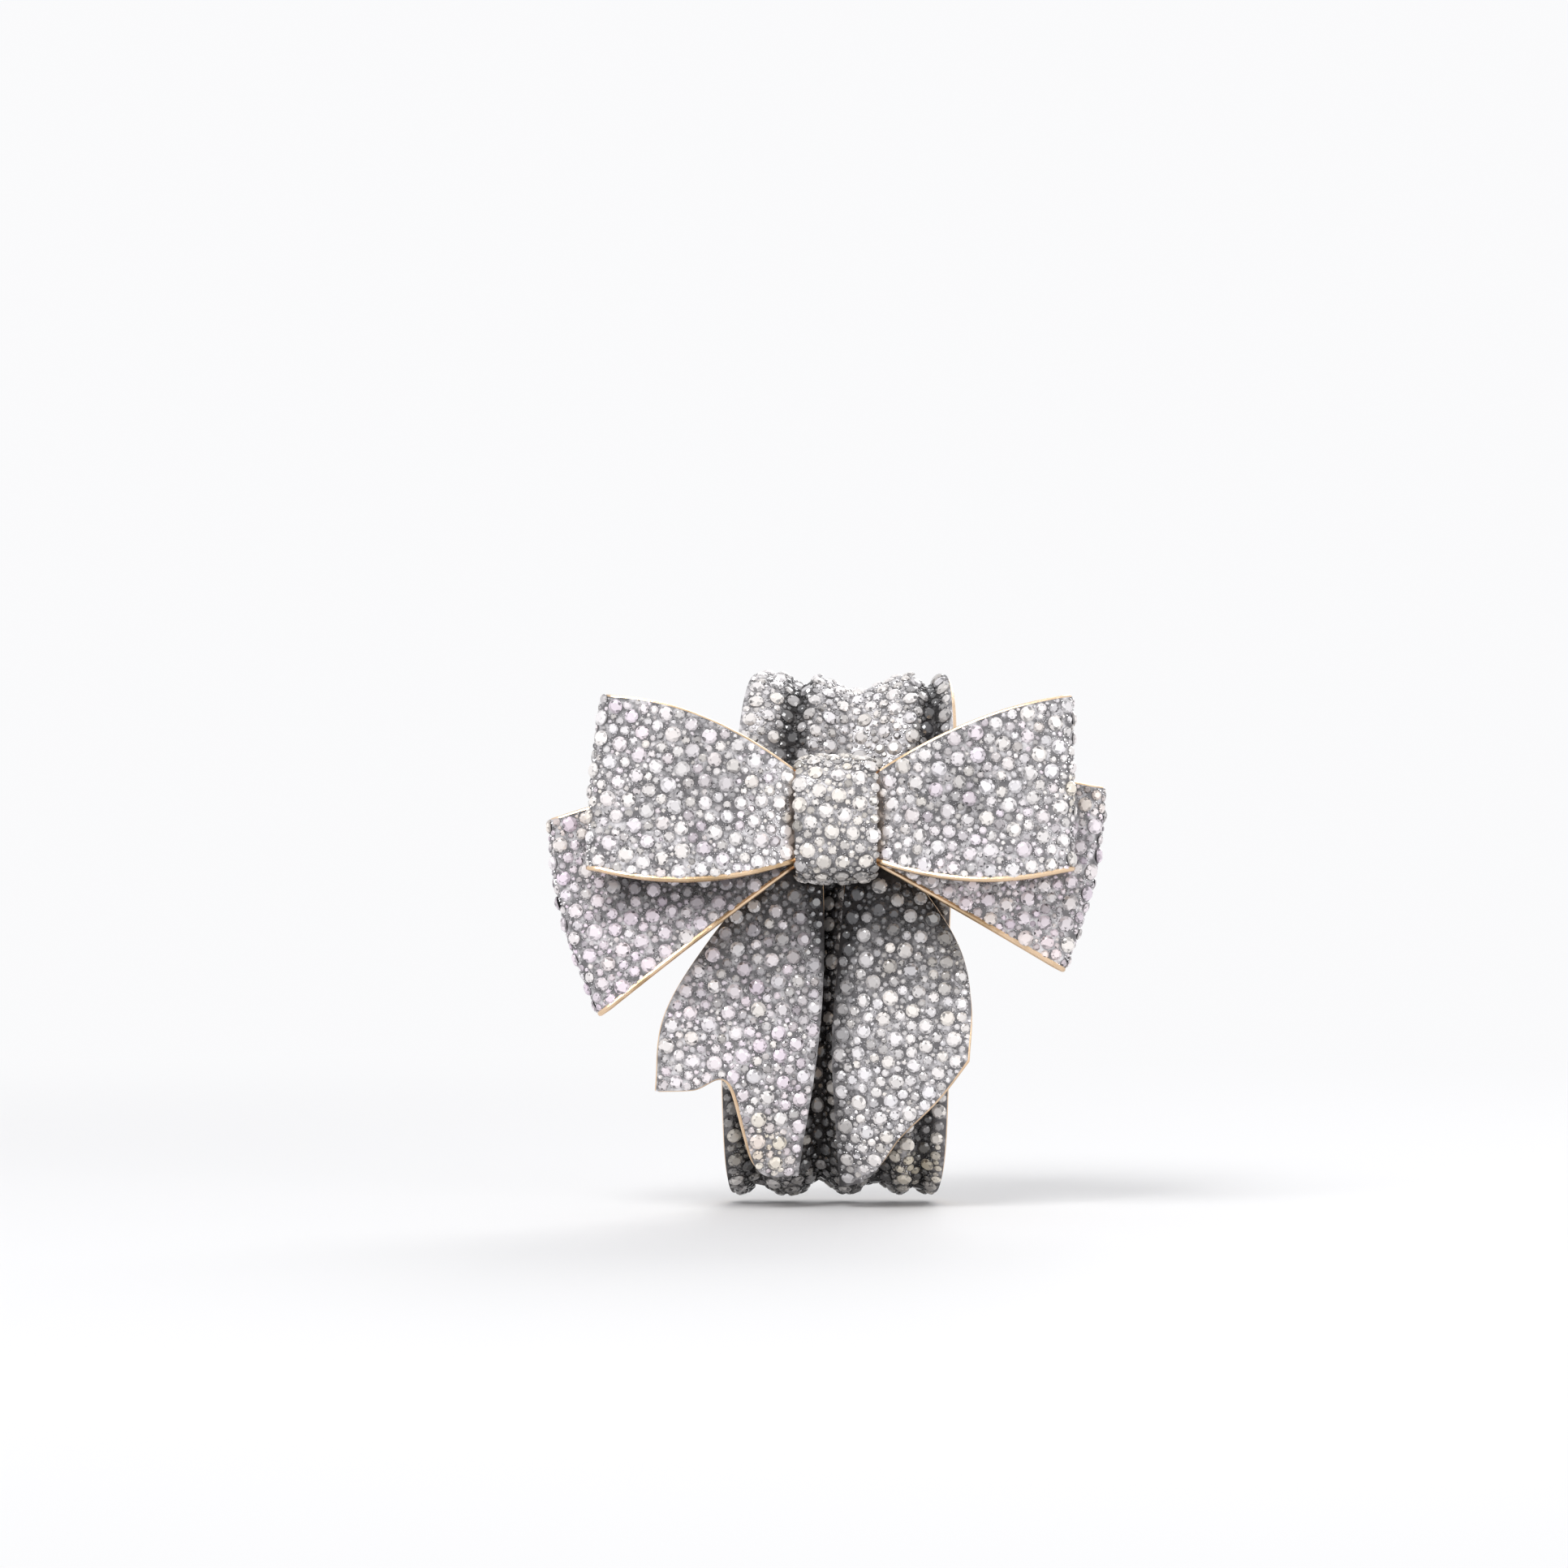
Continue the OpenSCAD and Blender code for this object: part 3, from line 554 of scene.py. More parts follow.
def scatter(surface, facing, u_range, v_range, rise, rng):
    """Places evenly at random on part of a surface: a cell of a grid is drawn by its area, and
    then a place in it. Returns u, v, the points `rise` off the surface, and its normals."""
    u, v = np.meshgrid(np.linspace(*u_range, SCATTER), np.linspace(*v_range, SCATTER), indexing="ij")
    grid = surface(u, v)
    sides = grid[1:, :-1] - grid[:-1, :-1], grid[:-1, 1:] - grid[:-1, :-1]
    area = np.linalg.norm(np.cross(*sides), axis=-1)
    share = (area / area.sum()).ravel()
    cell = rng.choice(share.size, size=int(area.sum() * PER_MM2), p=share)
    u = u[:-1, :-1].ravel()[cell] + rng.random(len(cell)) * (u_range[1] - u_range[0]) / (SCATTER - 1)
    v = v[:-1, :-1].ravel()[cell] + rng.random(len(cell)) * (v_range[1] - v_range[0]) / (SCATTER - 1)
    out = normals(surface, facing, u, v)
    return u, v, surface(u, v) + rise * out, out


CATCHES_LIGHT = 0.4                       # share of the large stones with a painted glint even in painted shade


def brightness(radii, lit, rng):
    """How brightly stones are painted: by the painted light at their place and by chance. The largest
    are the brightest and the most alike, and some large ones get a painted glint where the others don't."""
    catches = (radii > LARGE) & (rng.random(len(radii)) < CATCHES_LIGHT)
    lit = np.where(catches, lit ** 0.3, lit)
    largest = rng.normal(1.0, 0.07, len(radii))
    others = rng.normal(0.75 + 0.2 * radii, 0.2, len(radii))
    return np.clip(lit * np.where(radii > LARGEST, largest, others), 0.04, 1.0)


def bead_places(points, room, count):
    """Greedy beading: up to `count` beads, each in the tightest place that still takes one."""
    places = []
    while len(places) < count:
        fits = np.flatnonzero(room >= BEAD_R * 0.75)
        if not len(fits):
            break
        choice = fits[np.argmin(room[fits])]
        places.append(choice)
        room = np.minimum(room, np.linalg.norm(points - points[choice], axis=1) - BEAD_R)
    return np.array(places)


def set_stones(name, node, surface, facing, u_range, v_range, rise, seed, borders, shade, skip=None,
               warmth=0.12, lilac=0.0, looseness=1.0, overhang=RIM_OVERHANG):
    """Covers part of a surface's front with stones and beads. `borders` are the lines (u, v) of its
    rim, `skip` marks places to leave bare, and `shade` says how much light reaches a stone, which is
    painted into the colour of its facets and beads."""
    rng = np.random.default_rng(seed)
    u, v, points, out = scatter(surface, facing, u_range, v_range, rise, rng)
    rim = np.full(len(u), FAR)
    for line_u, line_v in borders:
        edge = surface(line_u, line_v) + rise * normals(surface, facing, line_u, line_v)
        rim = np.minimum(rim, nearest(points, edge) + overhang)
    if skip is not None:
        rim[skip(points, out)] = 0
    taken, radii, left = fill(points, rim, rng, looseness)
    spin = rng.uniform(0, np.pi / 4, len(taken))
    large = radii > LARGE
    # Painted light and shade: each stone's brightness comes from `shade`, painted glints and chance.
    shine = brightness(radii, shade(u[taken], v[taken], points[taken]), rng)
    # Each stone's own warmth by chance, plus a painted gold reflection near the listed places.
    warm = np.clip(rng.normal(warmth, 0.08, len(taken)) + painted_gold_glint(points[taken]), 0, 1)
    pink = np.clip(rng.normal(lilac, 0.25, len(taken)), 0, 1) * (lilac > 0)
    parts, light, warms, pinks = [], [], [], []
    cuts = (brilliant(), large, FACETS_LARGE), (single_cut(), ~large, FACETS_SMALL)
    for template, mask, facets in cuts:
        chosen = taken[mask]
        placed, kinds = copies(template, points[chosen], out[chosen], radii[mask], spin[mask], rng, 0.06)
        parts.append((placed, NO_FACES, 0))
        for kind, (level, swing) in zip(kinds, facets):
            per = len(kind) // len(chosen)
            parts.append((NO_POINTS, kind - len(placed), 0))
            # Painted light on each facet, scaled by the stone's painted brightness.
            light.append(np.repeat(shine[mask], per) * (level - swing * rng.random(len(kind)) ** 2.5))
            warms.append(np.repeat(warm[mask], per))
            pinks.append(np.repeat(pink[mask], per))
    at = bead_places(points, left, BEADS_PER_STONE * len(taken))
    placed, kinds = copies(bead(), points[at], out[at], np.full(len(at), BEAD_R), np.zeros(len(at)), rng, 0.0)
    parts.append((placed, NO_FACES, 1))
    parts += [(NO_POINTS, kind - len(placed), 1) for kind in kinds]
    # Painted shade on the beads.
    bead_light = shade(u[at], v[at], points[at])
    light += [np.repeat(bead_light, len(kind) // len(at)) for kind in kinds]
    untinted = [np.zeros(sum(len(kind) for kind in kinds))]
    facets = {"light": np.concatenate(light), "warm": np.concatenate(warms + untinted),
              "lilac": np.concatenate(pinks + untinted)}
    piece = build(name, parts, [CRYSTAL, BEAD_SILVER], smooth=False, facets=facets)
    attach(piece, "bow")
    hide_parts(node)


def line(fixed, value, low, high, count=120):
    """Parameters (u, v) of a straight line on a surface, with one of them fixed."""
    t = np.linspace(low, high, count)
    held = np.full(count, value)
    return (held, t) if fixed == "u" else (t, held)


RIVET_X, RIVET_ROOM = 7.5, 1.9            # a bar rivet's place, and the bare ring round its head
BLOCK_HALF_W, BLOCK_HALF_H = 3.3, 3.5     # bare patch under the centre block


def by_the_block(points, out):
    """Where the centre block and the heads of the bar rivets stand on the band."""
    x, z = np.abs(points[:, 0]), np.abs(points[:, 2])
    return ((x < BLOCK_HALF_W) & (z < BLOCK_HALF_H)) | (np.hypot(x - RIVET_X, z) < RIVET_ROOM)


band_sides = [line("u", 0, 0, 1, 400), line("u", 1, 0, 1, 400)]
set_stones("stones_on_band_top", "stones_band_top", band_at, 1, (0.02, 0.98), (0.6, 0.995), 0, 11,
           band_sides + [line("v", 1, 0, 1)], band_shade, by_the_block)
set_stones("stones_on_band_bottom", "stones_band_bottom", band_at, 1, (0.02, 0.98), (0.005, 0.6), 0, 12,
           band_sides + [line("v", 0, 0, 1)], band_shade, by_the_block, warmth=0.2)

# ---- The two tails -------------------------------------------------------------------------
# Two ribbon ends of the same sheet, soldered under the centre block. The left one is cut to a
# notch, with a short outer and a long inner point, and the right one is cut on a slant.

SHEET_T = 0.9
TAIL_TOP, TAIL_ROOT = 9.2, 1.3            # how far up the tails start, and how far off the band
LEFT_END, RIGHT_END = 15.2, 12.3          # how far down their outer corners are
RAILS_LEFT = [
    [(-5.2, TAIL_TOP, TAIL_ROOT), (-13.2, -0.4, 1.5), (-18.0, -8.0, 3.6), (-18.9, -LEFT_END, 5.2)],
    [(-4.4, TAIL_TOP, TAIL_ROOT + 0.1), (-10.2, -0.8, 2.0), (-14.1, -8.6, 3.4), (-15.0, -LEFT_END, 4.6)],
    [(-3.5, TAIL_TOP, TAIL_ROOT + 0.1), (-7.0, -1.2, 2.1), (-10.2, -9.2, 3.0), (-11.3, 0.5 - LEFT_END, 3.8)],
    [(-2.6, TAIL_TOP, TAIL_ROOT), (-4.6, -2.0, 2.1), (-7.2, -12.0, 3.0), (-8.4, -LEFT_END - 8.2, 2.8)],
    [(-1.5, TAIL_TOP, TAIL_ROOT - 0.1), (-1.3, -2.0, 1.2), (-2.0, -12.0, 1.5), (-4.0, -LEFT_END - 9.5, 1.9)],
]
RAILS_RIGHT = [
    [(1.5, TAIL_TOP, TAIL_ROOT - 0.1), (0.5, -2.0, 1.2), (-0.2, -12.0, 1.5), (0.6, -RIGHT_END - 13.8, 1.8)],
    [(2.6, TAIL_TOP, TAIL_ROOT), (3.6, -2.0, 2.5), (4.2, -12.0, 3.1), (3.5, -RIGHT_END - 12.4, 2.4)],
    [(3.8, TAIL_TOP, TAIL_ROOT + 0.1), (7.0, -1.4, 2.7), (9.0, -9.4, 3.6), (6.9, -RIGHT_END - 8.2, 3.1)],
    [(5.0, TAIL_TOP, TAIL_ROOT + 0.1), (10.4, -0.8, 2.2), (12.6, -7.0, 3.4), (10.8, -RIGHT_END - 4.1, 3.8)],
    [(6.0, TAIL_TOP, TAIL_ROOT), (12.5, -0.2, 1.6), (14.1, -6.6, 2.8), (14.0, -RIGHT_END, 3.8)],
]


def through(values, t):
    """Catmull-Rom curve through a list of values, at every t from 0 to the last index."""
    padded = np.concatenate([2 * values[:1] - values[1:2], values, 2 * values[-1:] - values[-2:-1]])
    i = np.clip(np.floor(t).astype(int), 0, len(values) - 2)
    f = (t - i)[:, None]
    a, b, c, d = padded[i], padded[i + 1], padded[i + 2], padded[i + 3]
    return 0.5 * (2 * b + (c - a) * f + (2 * a - 5 * b + 4 * c - d) * f ** 2
                  + (3 * b - a - 3 * c + d) * f ** 3)


def tail(rails):
    """Surface across (u) and down (w) a tail, from rails of (x, way along the band, lift)."""
    rails = np.array(rails)

    def at(u, w):
        across = through(np.eye(len(rails)), (len(rails) - 1) * np.ravel(u))
        down = through(np.eye(rails.shape[1]), (rails.shape[1] - 1) * np.ravel(w))
        x, along, lift = np.einsum("mi,mj,ijk->km", across, down, rails)
        return off_band(x, along, lift).reshape(np.shape(u) + (3,))

    return at


SHADE_LEFT, SHADE_RIGHT = 0.22, 0.08      # shares of the painted light under the loops
SHADE_FROM, SHADE_FADE = 10.0, 12.0       # how far down it starts to lift, and over what length
HOLLOW_HALF_W, HOLLOW_DOWN = 3.0, 7.0     # painted shade of the hollow under the knot, narrower farther down
INNER_EDGE, INNER_LIGHT = 2.2, 0.35


def tail_shade(u, w, points):
    """Painted shade: the tails' upper halves lie in the hollow under the loops, and their inner edges
    face away, so both are painted darker.
    """
    x, down = np.abs(points[:, 0]), -points[:, 2]
    hollow = np.clip((x - HOLLOW_HALF_W + 0.3 * (down - HOLLOW_DOWN)) / 1.6, 0.0, 1)
    edge = np.clip(x / INNER_EDGE, INNER_LIGHT, 1)
    least = np.where(points[:, 0] < 0, SHADE_LEFT, SHADE_RIGHT)
    return (least + (1 - least) * np.clip((down - SHADE_FROM) / SHADE_FADE, 0, 1)) * hollow * edge


for side, rails, seed in (("left", RAILS_LEFT, 21), ("right", RAILS_RIGHT, 22)):
    surface = tail(rails)
    sheet = ribbon(f"tail_{side}_sheet", surface, -1, np.linspace(0, 1, 70), np.linspace(0, 1, 90),
                   SHEET_T / 2, SHEET_T / 2, [border(0.015, 0.008, 80)], tail_shade)
    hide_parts(f"tail_{side}")
    set_stones(f"stones_on_tail_{side}", f"stones_tail_{side}", surface, -1, (0.02, 0.98), (0.12, 0.99),
               SHEET_T / 2, seed, [line("u", 0, 0, 1, 200), line("u", 1, 0, 1, 200), line("v", 1, 0, 1)],
               tail_shade, lilac=0.25 if side == "left" else 0.0, looseness=1.25)

# ---- The four loops ------------------------------------------------------------------------
# Each loop is one strip that runs out from the centre block, turns round a soft fold and comes
# back behind itself, open above and below. The front pair flares towards its fold; the rear
# pair is swept down behind it. Gold wires finish the upper and lower edges.

LOOP_ROOT = 2.8                       # where the strips start beside the centre block
ROOT_HALF = 3.7                       # half their height there
ROOT_GAP = 1.3                        # and the gap between a loop's front and its back
FOLD_FROM = 0.46                      # share of the strip in front of the fold
knot_low = np.array(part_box("knot")[0]) / MM
LAYER_GAP, KNOT_ROOM = 0.3, 1.7       # between two layers, and behind the knot
FRONT_Y = knot_low[1] + SHEET_T + KNOT_ROOM + SHEET_T / 2       # the strips' middles at the block
REAR_Y = FRONT_Y + ROOT_GAP + SHEET_T + LAYER_GAP


def loop_net(side, reach_top, reach_bottom, top, drop, y, belly, fold_y, flare, bow):
    """The 3 x 3 control points of a loop's front sheet, from its root to its fold and from its
    bottom edge to its top edge."""
    root = side * LOOP_ROOT
    mid_top, mid_bottom = side * (LOOP_ROOT + reach_top) / 2, side * (LOOP_ROOT + reach_bottom) / 2
    return np.array([
        [(root, y, -ROOT_HALF), (root, y, 0), (root, y, ROOT_HALF)],
        [(mid_bottom, y - belly - flare[0], -(ROOT_HALF + drop) / 2 - bow[0]),
         (mid_top, y - belly, (top - drop) / 5),
         (mid_top, y - belly - flare[2], (ROOT_HALF + top) / 2 + bow[1])],
        [(side * reach_bottom, fold_y - flare[1], -drop),
         (side * max(reach_top, reach_bottom), fold_y, (top - drop) / 2),
         (side * reach_top, fold_y, top)],
    ])


def bezier(t):
    """The three quadratic Bezier weights at every t."""
    t = np.ravel(t)
    return np.stack([(1 - t) ** 2, 2 * t * (1 - t), t * t], axis=1)


def loop(net, fold_gap):
    """Surface along (s) and up (v) a loop's strip: a Bezier sheet out to the fold, a half turn
    about an upright axis, and the same sheet set back by a widening gap."""

    def sheet_at(q, v):
        return np.einsum("mi,mj,ijk->mk", bezier(q), bezier(v), net)

    def at(s, v):
        shape = np.shape(s)
        s, v = np.ravel(s), np.ravel(v)
        q = np.clip(np.minimum(s, 1 - s) / FOLD_FROM, 0, 1)
        behind = s >= 1 - FOLD_FROM
        base = sheet_at(q, v)
        shift = np.where(behind, ROOT_GAP + (fold_gap - ROOT_GAP) * q, 0)
        turn = np.pi * np.clip((s - FOLD_FROM) / (1 - 2 * FOLD_FROM), 0, 1)
        folding = (s > FOLD_FROM) & ~behind
        shift = np.where(folding, fold_gap / 2 * (1 - np.cos(turn)), shift)
        lead = (sheet_at(np.ones_like(v), v) - sheet_at(np.full_like(v, 0.9), v)) * [1, 0, 1]
        lead /= np.linalg.norm(lead, axis=1, keepdims=True)
        swell = np.where(folding, fold_gap / 2 * np.sin(turn), 0)
        set_back = np.stack([0 * shift, shift, 0 * shift], axis=1)
        return (base + set_back + lead * swell[:, None]).reshape(shape + (3,))

    return at


REAR_BELLY, FRONT_BELLY = 0.7, 3.6    # how far the loops belly forward between knot and fold
REAR_FOLD, FRONT_FOLD = 0.3, 1.7      # how far their folds lie in front of their roots


def rear_net(side, reach_top, reach_bottom, top, drop, flare, bow):
    """Net of a rear loop. Its sizes are the reach of its two corners, their heights, the flare of
    its edges forward and their bow up and down."""
    return loop_net(side, reach_top, reach_bottom, top, drop, REAR_Y, REAR_BELLY, REAR_Y - REAR_FOLD,
                    flare, bow)


def front_net(side, reach_top, reach_bottom, top, drop, flare, bow):
    """Net of a front loop, from the same sizes."""
    return loop_net(side, reach_top, reach_bottom, top, drop, FRONT_Y, FRONT_BELLY, FRONT_Y - FRONT_FOLD,
                    flare, bow)


# Each loop's net and the gap between its front and back at the fold
LOOPS = {
    "rear_left": (rear_net(-1, 28.7, 23.6, 0.2, 19.7, (0.6, 1.2, -0.2), (-0.4, 2.6)), 1.8),
    "rear_right": (rear_net(1, 26.9, 22.7, 3.4, 15.2, (0.6, 1.0, -0.2), (-0.2, 2.2)), 1.8),
    "front_left": (front_net(-1, 22.8, 24.3, 12.7, 5.3, (1.6, 0.9, -0.4), (3.4, 3.9)), 2.3),
    "front_right": (front_net(1, 23.1, 23.2, 12.6, 5.4, (1.0, 0.5, -0.4), (3.2, 2.8)), 2.3),
}
STONES_TO = 0.52                      # the stones end just past the middle of the fold
STONE_REACH = 0.55                    # a stone needs this much air in front of its sheet
# Nearer the middle than this, the knot hides the front loops, and the front ones the rear ones
KNOT_COVERS, FRONT_COVERS = 3.5, 3.6
STONE_TOP = 0.25                      # how far a stone stands off the sheet
LOWER_WIRE, UPPER_WIRE = (0.004, 0.34), (0.996, 0.12)     # v of each edge wire, and its lift


def under(front):
    """Marks the places that the loop `front` lies too close over for a stone."""
    s, v = np.meshgrid(np.linspace(0.45, 1, 70), np.linspace(0, 1, 40), indexing="ij")
    cover = front(s, v).reshape(-1, 3)

    def near(points, out):
        tops = points + STONE_TOP * out
        too_close = nearest(tops, cover) < SHEET_T / 2 + STONE_REACH
        return too_close | (np.abs(points[:, 0]) < FRONT_COVERS)

    return near


def under_knot(points, out):
    """Marks the places that the knot hides."""
    return np.abs(points[:, 0]) < KNOT_COVERS


def front_shade(s, v, points):
    """Painted shade: a front loop's belly leans down between knot and fold, and is painted up to 0.3 darker.
    """
    return 1 - 0.3 * np.exp(-((s / FOLD_FROM - 0.5) / 0.22) ** 2 - ((v - 0.6) / 0.3) ** 2)


FREE_LEFT, FREE_RIGHT, FREE_OUT = 8.0, 4.5, 22.5      # full painted light starts below or outside these
UNDER_LEFT, UNDER_RIGHT = 0.28, 0.85                  # shares of it under the front loops


def rear_shade(s, v, points):
    """Painted shade: the rear loops are painted darker where the front ones hang over them, the left one
    most.
    """
    x, down = points[:, 0], -points[:, 2]
    below = np.clip((down - np.where(x < 0, FREE_LEFT, FREE_RIGHT)) / 3, 0, 1)
    outward = np.clip((np.abs(x) - FREE_OUT) / 2, 0, 1)
    least = np.where(x < 0, UNDER_LEFT, UNDER_RIGHT)
    return least + (1 - least) * np.maximum(below, outward)


for number, (name, (net, fold_gap)) in enumerate(LOOPS.items()):
    surface = loop(net, fold_gap)
    facing = 1 if name.endswith("right") else -1
    along = np.concatenate([np.linspace(0, FOLD_FROM, 60, endpoint=False),
                            np.linspace(FOLD_FROM, 1 - FOLD_FROM, 28, endpoint=False),
                            np.linspace(1 - FOLD_FROM, 1, 60)])
    wires = [(along, np.full(len(along), v), False, lift) for v, lift in (LOWER_WIRE, UPPER_WIRE)]
    skip, shade, lilac = under_knot, front_shade, 0.04
    if name.startswith("rear"):
        skip, shade, lilac = under(loop(*LOOPS[name.replace("rear", "front")])), rear_shade, 0.5
    strip = ribbon(f"loop_{name}_strip", surface, facing, along, np.linspace(0, 1, 50),
                   SHEET_T / 2, SHEET_T / 2, wires, shade, STONES_TO)
    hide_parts(f"loop_{name}")
    set_stones(f"stones_on_loop_{name}", f"stones_{name}", surface, facing, (0.05, STONES_TO), (0.01, 0.99),
               SHEET_T / 2, 31 + number, [line("v", 0, 0, 0.54, 240), line("v", 1, 0, 0.54, 240)],
               shade, skip, lilac=lilac)

# ---- The knot ------------------------------------------------------------------------------
# A short strip bent over the roots of the loops like a squared arch and crowned across its
# width. It is set with warmer stones, which reach out over its sides.

KNOT_HALF_W = 4.1
KNOT_FROM, KNOT_TO = np.radians(-86), np.radians(98)      # from underneath, up and over the top
KNOT_POWER = 3.6                      # the arch's power: 2 is round, and more is squarer
KNOT_CROWN = 0.07                     # it falls off this much towards its sides
KNOT_MID = REAR_Y + ROOT_GAP          # depth at which the arch turns in
KNOT_FRONT = knot_low[1] + SHEET_T / 2
KNOT_HALF_H = 6.1


def knot_at(u, w):
    """A superellipse |y|^n + |z|^n = 1 round the loops' roots, seen from its middle."""
    angle = KNOT_FROM + (KNOT_TO - KNOT_FROM) * w
    k = 2 * u - 1
    reach = (np.abs(np.cos(angle)) ** KNOT_POWER + np.abs(np.sin(angle)) ** KNOT_POWER) ** (-1 / KNOT_POWER)
    reach = reach * (1 - KNOT_CROWN * k ** 4)
    return np.stack([k * KNOT_HALF_W * (0.9 + 0.1 * np.cos(angle)),
                     KNOT_MID + (KNOT_FRONT - KNOT_MID) * reach * np.cos(angle),
                     KNOT_HALF_H * reach * np.sin(angle)], axis=-1)


def knot_shade(u, w, points):
    """Painted shade: the knot is painted darker at its sides and below, where it turns away from the light.
    """
    sides = 0.35 * np.clip(np.abs(2 * u - 1) - 0.55, 0, 1)
    return 1 - sides - 0.5 * np.clip((-points[:, 2] - 3) / 3, 0, 1)


knot = ribbon("knot_strip", knot_at, 1, np.linspace(0, 1, 40), np.linspace(0, 1, 70),
              SHEET_T / 2, SHEET_T / 2, [border(0.03, 0.012, 60, -0.2)], knot_shade)
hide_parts("knot")
set_stones("stones_on_knot", "stones_knot", knot_at, 1, (0.0, 1.0), (0.02, 0.97), SHEET_T / 2, 41,
           [line("u", 0, 0, 1), line("u", 1, 0, 1), line("v", 0, 0, 1), line("v", 1, 0, 1)],
           knot_shade, warmth=0.28, looseness=0.8, overhang=0.45)

# ---- Block, bar, stud and rivets -----------------------------------------------------------
# Brass parts plated like the edges. The bow, the band and the bar are clamped by one threaded
# stud with a washer and a nut, and two rivets stop the bar from turning.


# Faces that turn less than the first are joined to one, and edges that turn more than the second
# are rounded off
FLAT, SHARP = np.radians(1), np.radians(35)


def eased(node, width, finish, body="bow"):
    """A part in its own CAD shape, with its sharp edges rounded off by `width`."""
    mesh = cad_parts[node].data.copy()
    piece = bpy.data.objects.new(node + "_eased", mesh)
    bpy.context.scene.collection.objects.link(piece)
    bm = bmesh.new()
    bm.from_mesh(mesh)
    bmesh.ops.remove_doubles(bm, verts=bm.verts, dist=1e-6)
    bmesh.ops.dissolve_limit(bm, angle_limit=FLAT, verts=bm.verts, edges=bm.edges)
    bm.to_mesh(mesh)
    bm.free()
    mesh.materials.clear()
    mesh.materials.append(finish)
    mesh.polygons.foreach_set("use_smooth", np.full(len(mesh.polygons), True))
    mesh.set_sharp_from_angle(angle=SHARP)
    rounding = piece.modifiers.new("rounding", "BEVEL")
    rounding.width = width * MM
    rounding.segments = 2
    rounding.limit_method = "ANGLE"
    rounding.angle_limit = SHARP
    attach(piece, body)
    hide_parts(node)


def polished_gold():
    """Polished gold-coloured plate with hairline scratches, rubbed paler where it is handled."""
    f = Finish("polished_gold")
    stretched = f.node("ShaderNodeMapping", None, {"Vector": f.place(), "Scale": (0.15, 1.0, 1.0)})
    hairs = f.noise(5200, 2, 0.75, stretched)
    worn = f.noise(240, 4).ease(0.5, 0.72)
    colour = f.mix(worn, (0.72, 0.5, 0.25, 1), (0.8, 0.68, 0.5, 1))
    return f.close(Base_Color=colour, Metallic=1.0, Roughness=0.14 + 0.16 * hairs + 0.1 * worn,
                   Normal=f.bump(hairs, 0.25, 0.00004))


POLISHED_GOLD = polished_gold()
for node, width in (("centre_block", 0.12), ("back_bar", 0.2), ("bar_rivets", 0.12), ("stud_washer", 0.05),
                    ("stud_nut", 0.15)):
    eased(node, width, POLISHED_GOLD)

# ---- Pin, hinge and catch ------------------------------------------------------------------
# The pin is drawn spring-steel wire, ground to a point, with an eye that turns on a rivet
# between two ears. Its end lies in a slotted roller, which is turned over it by a thumb tab.


def ground_steel():
    """Bright steel wire with grinding marks round it and a trace of darker oil film."""
    f = Finish("ground_steel")
    marks = f.noise(6000, 2, 0.7)
    film = f.noise(300, 3).ease(0.45, 0.75)
    return f.close(Base_Color=f.mix(film, (0.68, 0.68, 0.7, 1), (0.5, 0.48, 0.46, 1)), Metallic=1.0,
                   Roughness=0.12 + 0.16 * marks, Normal=f.bump(marks, 0.2, 0.00003))


for node, width in (("hinge_bracket", 0.12), ("hinge_rivet", 0.1), ("catch_bracket", 0.12)):
    eased(node, width, POLISHED_GOLD)
eased("pin_stem", 0.06, ground_steel(), "pin")
eased("safety_roller", 0.1, POLISHED_GOLD, "safety")

# ---- Floor, light and camera ---------------------------------------------------------------
# The brooch stands on pale paper in an even room. A soft lamp at the upper left, a weaker one at
# the right and one behind light it, and a long lens looks straight at its front.

FLOOR_HALF = 2.5                      # metres, as are all lengths in this section
FLOOR_GAP = 0.0006                    # under the lowest point of the brooch
SHOWN = (0.96, 0.96, 0.97, 1)         # what the camera sees as background
AMBIENT = (0.55, 0.55, 0.56, 1)       # what lights the brooch from all round
PAPER = (0.83, 0.83, 0.835, 1)
PAPER_FROM, PAPER_TO = 0.1, 0.32      # distances over which the paper goes into the background

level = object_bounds()[0][2] - FLOOR_GAP
corners = [(-FLOOR_HALF, -FLOOR_HALF, level), (FLOOR_HALF, -FLOOR_HALF, level),
           (FLOOR_HALF, FLOOR_HALF, level), (-FLOOR_HALF, FLOOR_HALF, level)]
floor_mesh = bpy.data.meshes.new("floor")
floor_mesh.from_pydata(corners, [], [(0, 1, 2, 3)])
floor = bpy.data.objects.new("floor", floor_mesh)
bpy.context.scene.collection.objects.link(floor)


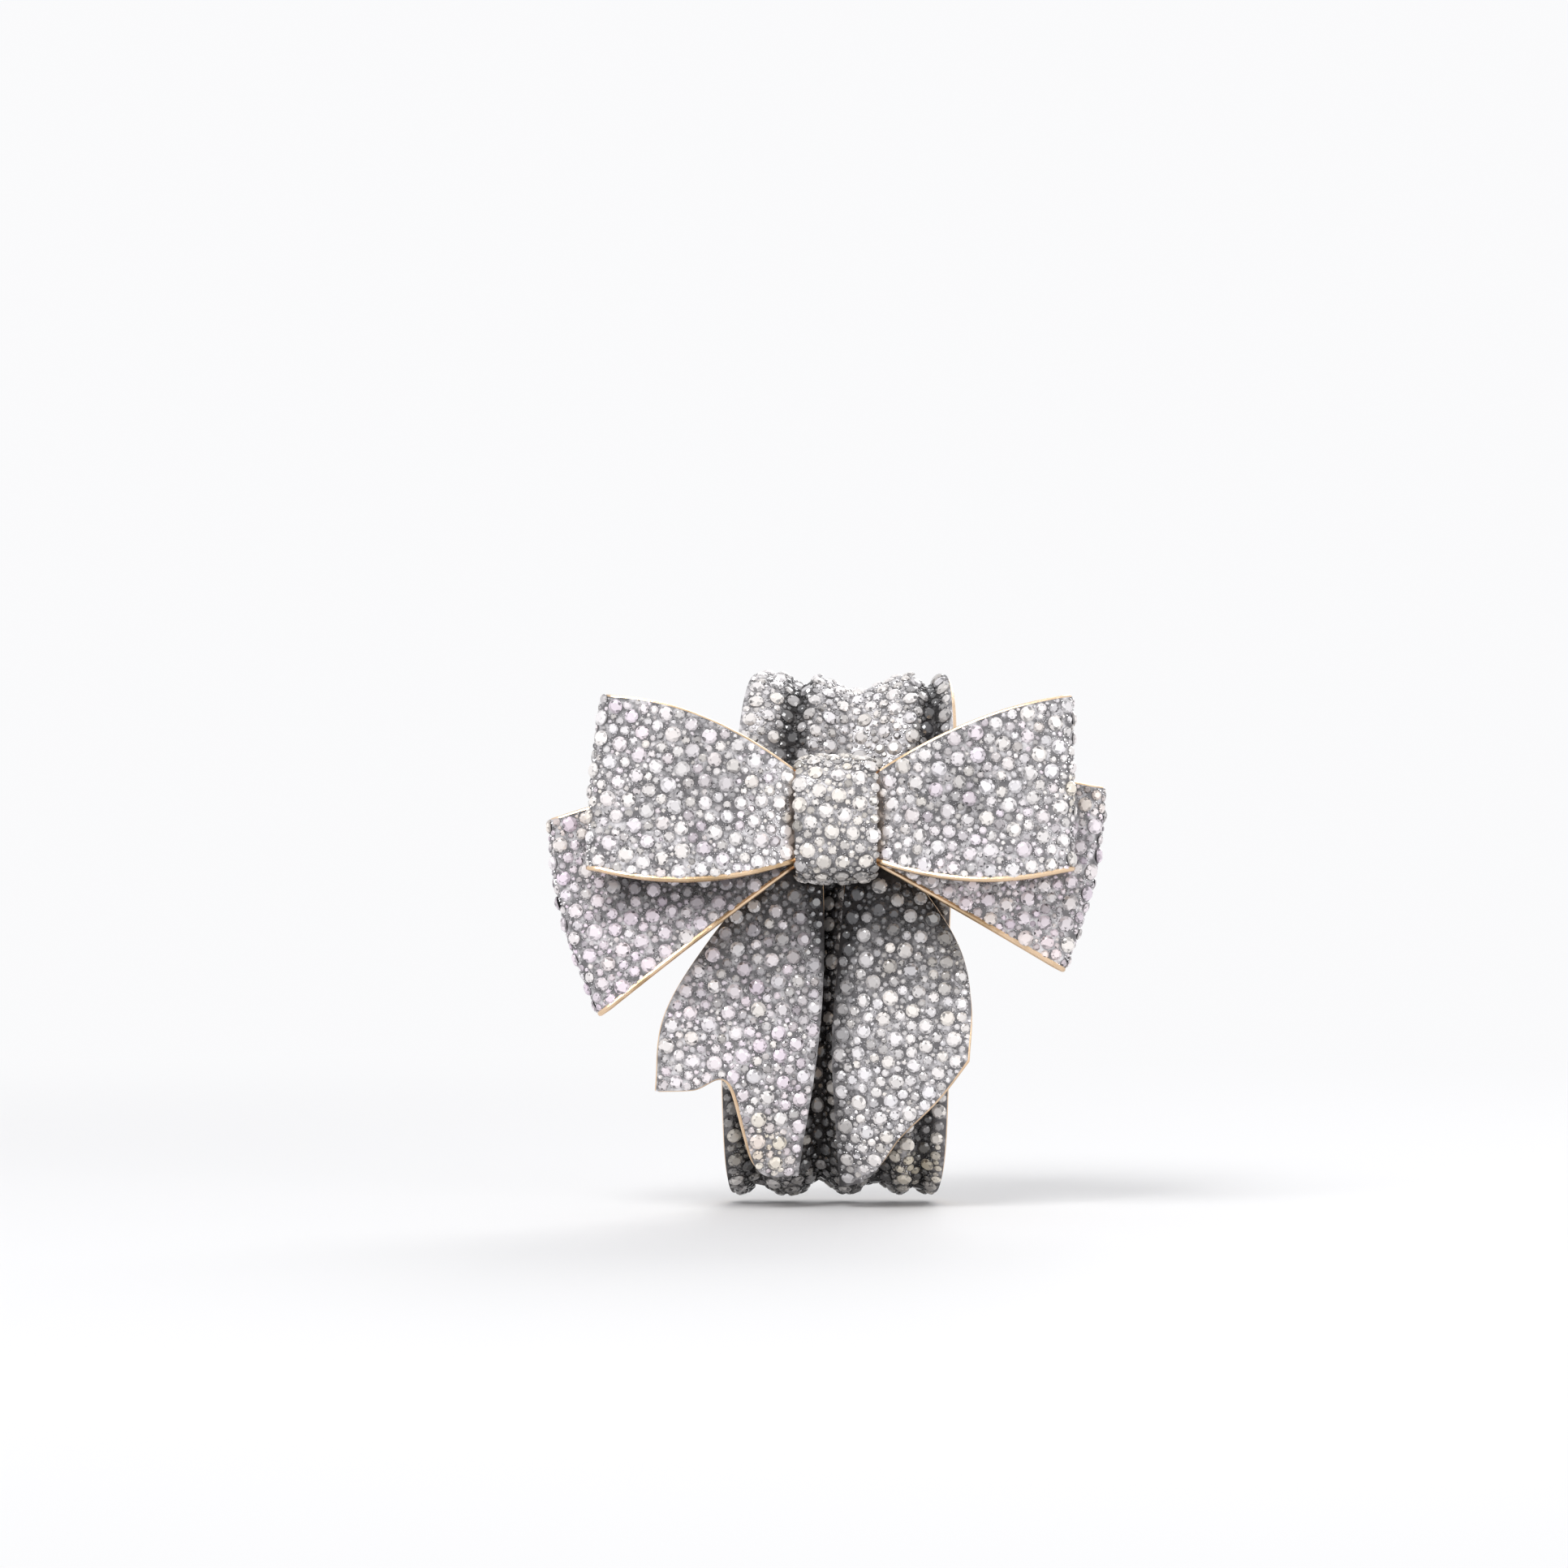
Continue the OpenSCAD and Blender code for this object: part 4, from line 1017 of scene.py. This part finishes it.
def floor_paper():
    """Pale paper near the brooch, which goes over into the plain background farther off."""
    f = Finish("floor_paper")
    away = f.node("ShaderNodeVectorMath", {"operation": "LENGTH"}, {0: f.place()}, out=1)
    paper = f.node("ShaderNodeBsdfPrincipled", None, {"Base Color": PAPER, "Roughness": 0.7})
    glow = f.node("ShaderNodeEmission", None, {"Color": SHOWN})
    mixed = {0: away.ease(PAPER_FROM, PAPER_TO), 1: paper, 2: glow}
    return f.end(f.node("ShaderNodeMixShader", None, mixed))


floor_mesh.materials.append(floor_paper())


def studio():
    """A background that the camera and mirrors see as near white, and that lights more softly."""
    world = bpy.data.worlds.new("studio")
    f = Finish("studio", world)
    direct, mirrored, refracted = (f.node("ShaderNodeLightPath", out=f"Is {kind} Ray")
                                   for kind in ("Camera", "Glossy", "Transmission"))
    both = {0: direct + mirrored, 1: refracted}
    seen = f.node("ShaderNodeMath", {"operation": "ADD", "use_clamp": True}, both)
    shown = f.node("ShaderNodeBackground", None, {"Color": SHOWN})
    ambient = f.node("ShaderNodeBackground", None, {"Color": AMBIENT})
    f.end(f.node("ShaderNodeMixShader", None, {0: seen, 1: ambient, 2: shown}))
    bpy.context.scene.world = world


studio()


def softbox(name, place, size, watts):
    """A square lamp that faces the brooch."""
    lamp = bpy.data.lights.new(name, "AREA")
    lamp.size = size
    lamp.energy = watts
    holder = bpy.data.objects.new(name, lamp)
    bpy.context.scene.collection.objects.link(holder)
    holder.location = place
    holder.rotation_euler = (-Vector(place)).to_track_quat("-Z", "Y").to_euler()


softbox("key", (-0.3, -0.55, 0.7), 0.4, 5.0)
softbox("fill", (0.6, -0.7, 0.02), 0.6, 2.6)
softbox("back", (0.3, 0.8, 0.5), 0.6, 3.0)

FRAME_W = 0.1642                      # width of the view at the brooch
AIM = (-0.0054, -0.012, 0.0037)       # the middle of the view
camera_data = bpy.data.cameras.new("camera")
camera_data.lens = 120
camera_data.sensor_width = 36
camera = bpy.data.objects.new("camera", camera_data)
bpy.context.scene.collection.objects.link(camera)
distance = FRAME_W * camera_data.lens / camera_data.sensor_width
camera.location = (AIM[0], AIM[1] - distance, AIM[2])
camera.rotation_euler = (np.pi / 2, 0, 0)
bpy.context.scene.camera = camera
bpy.context.scene.view_settings.view_transform = "Standard"
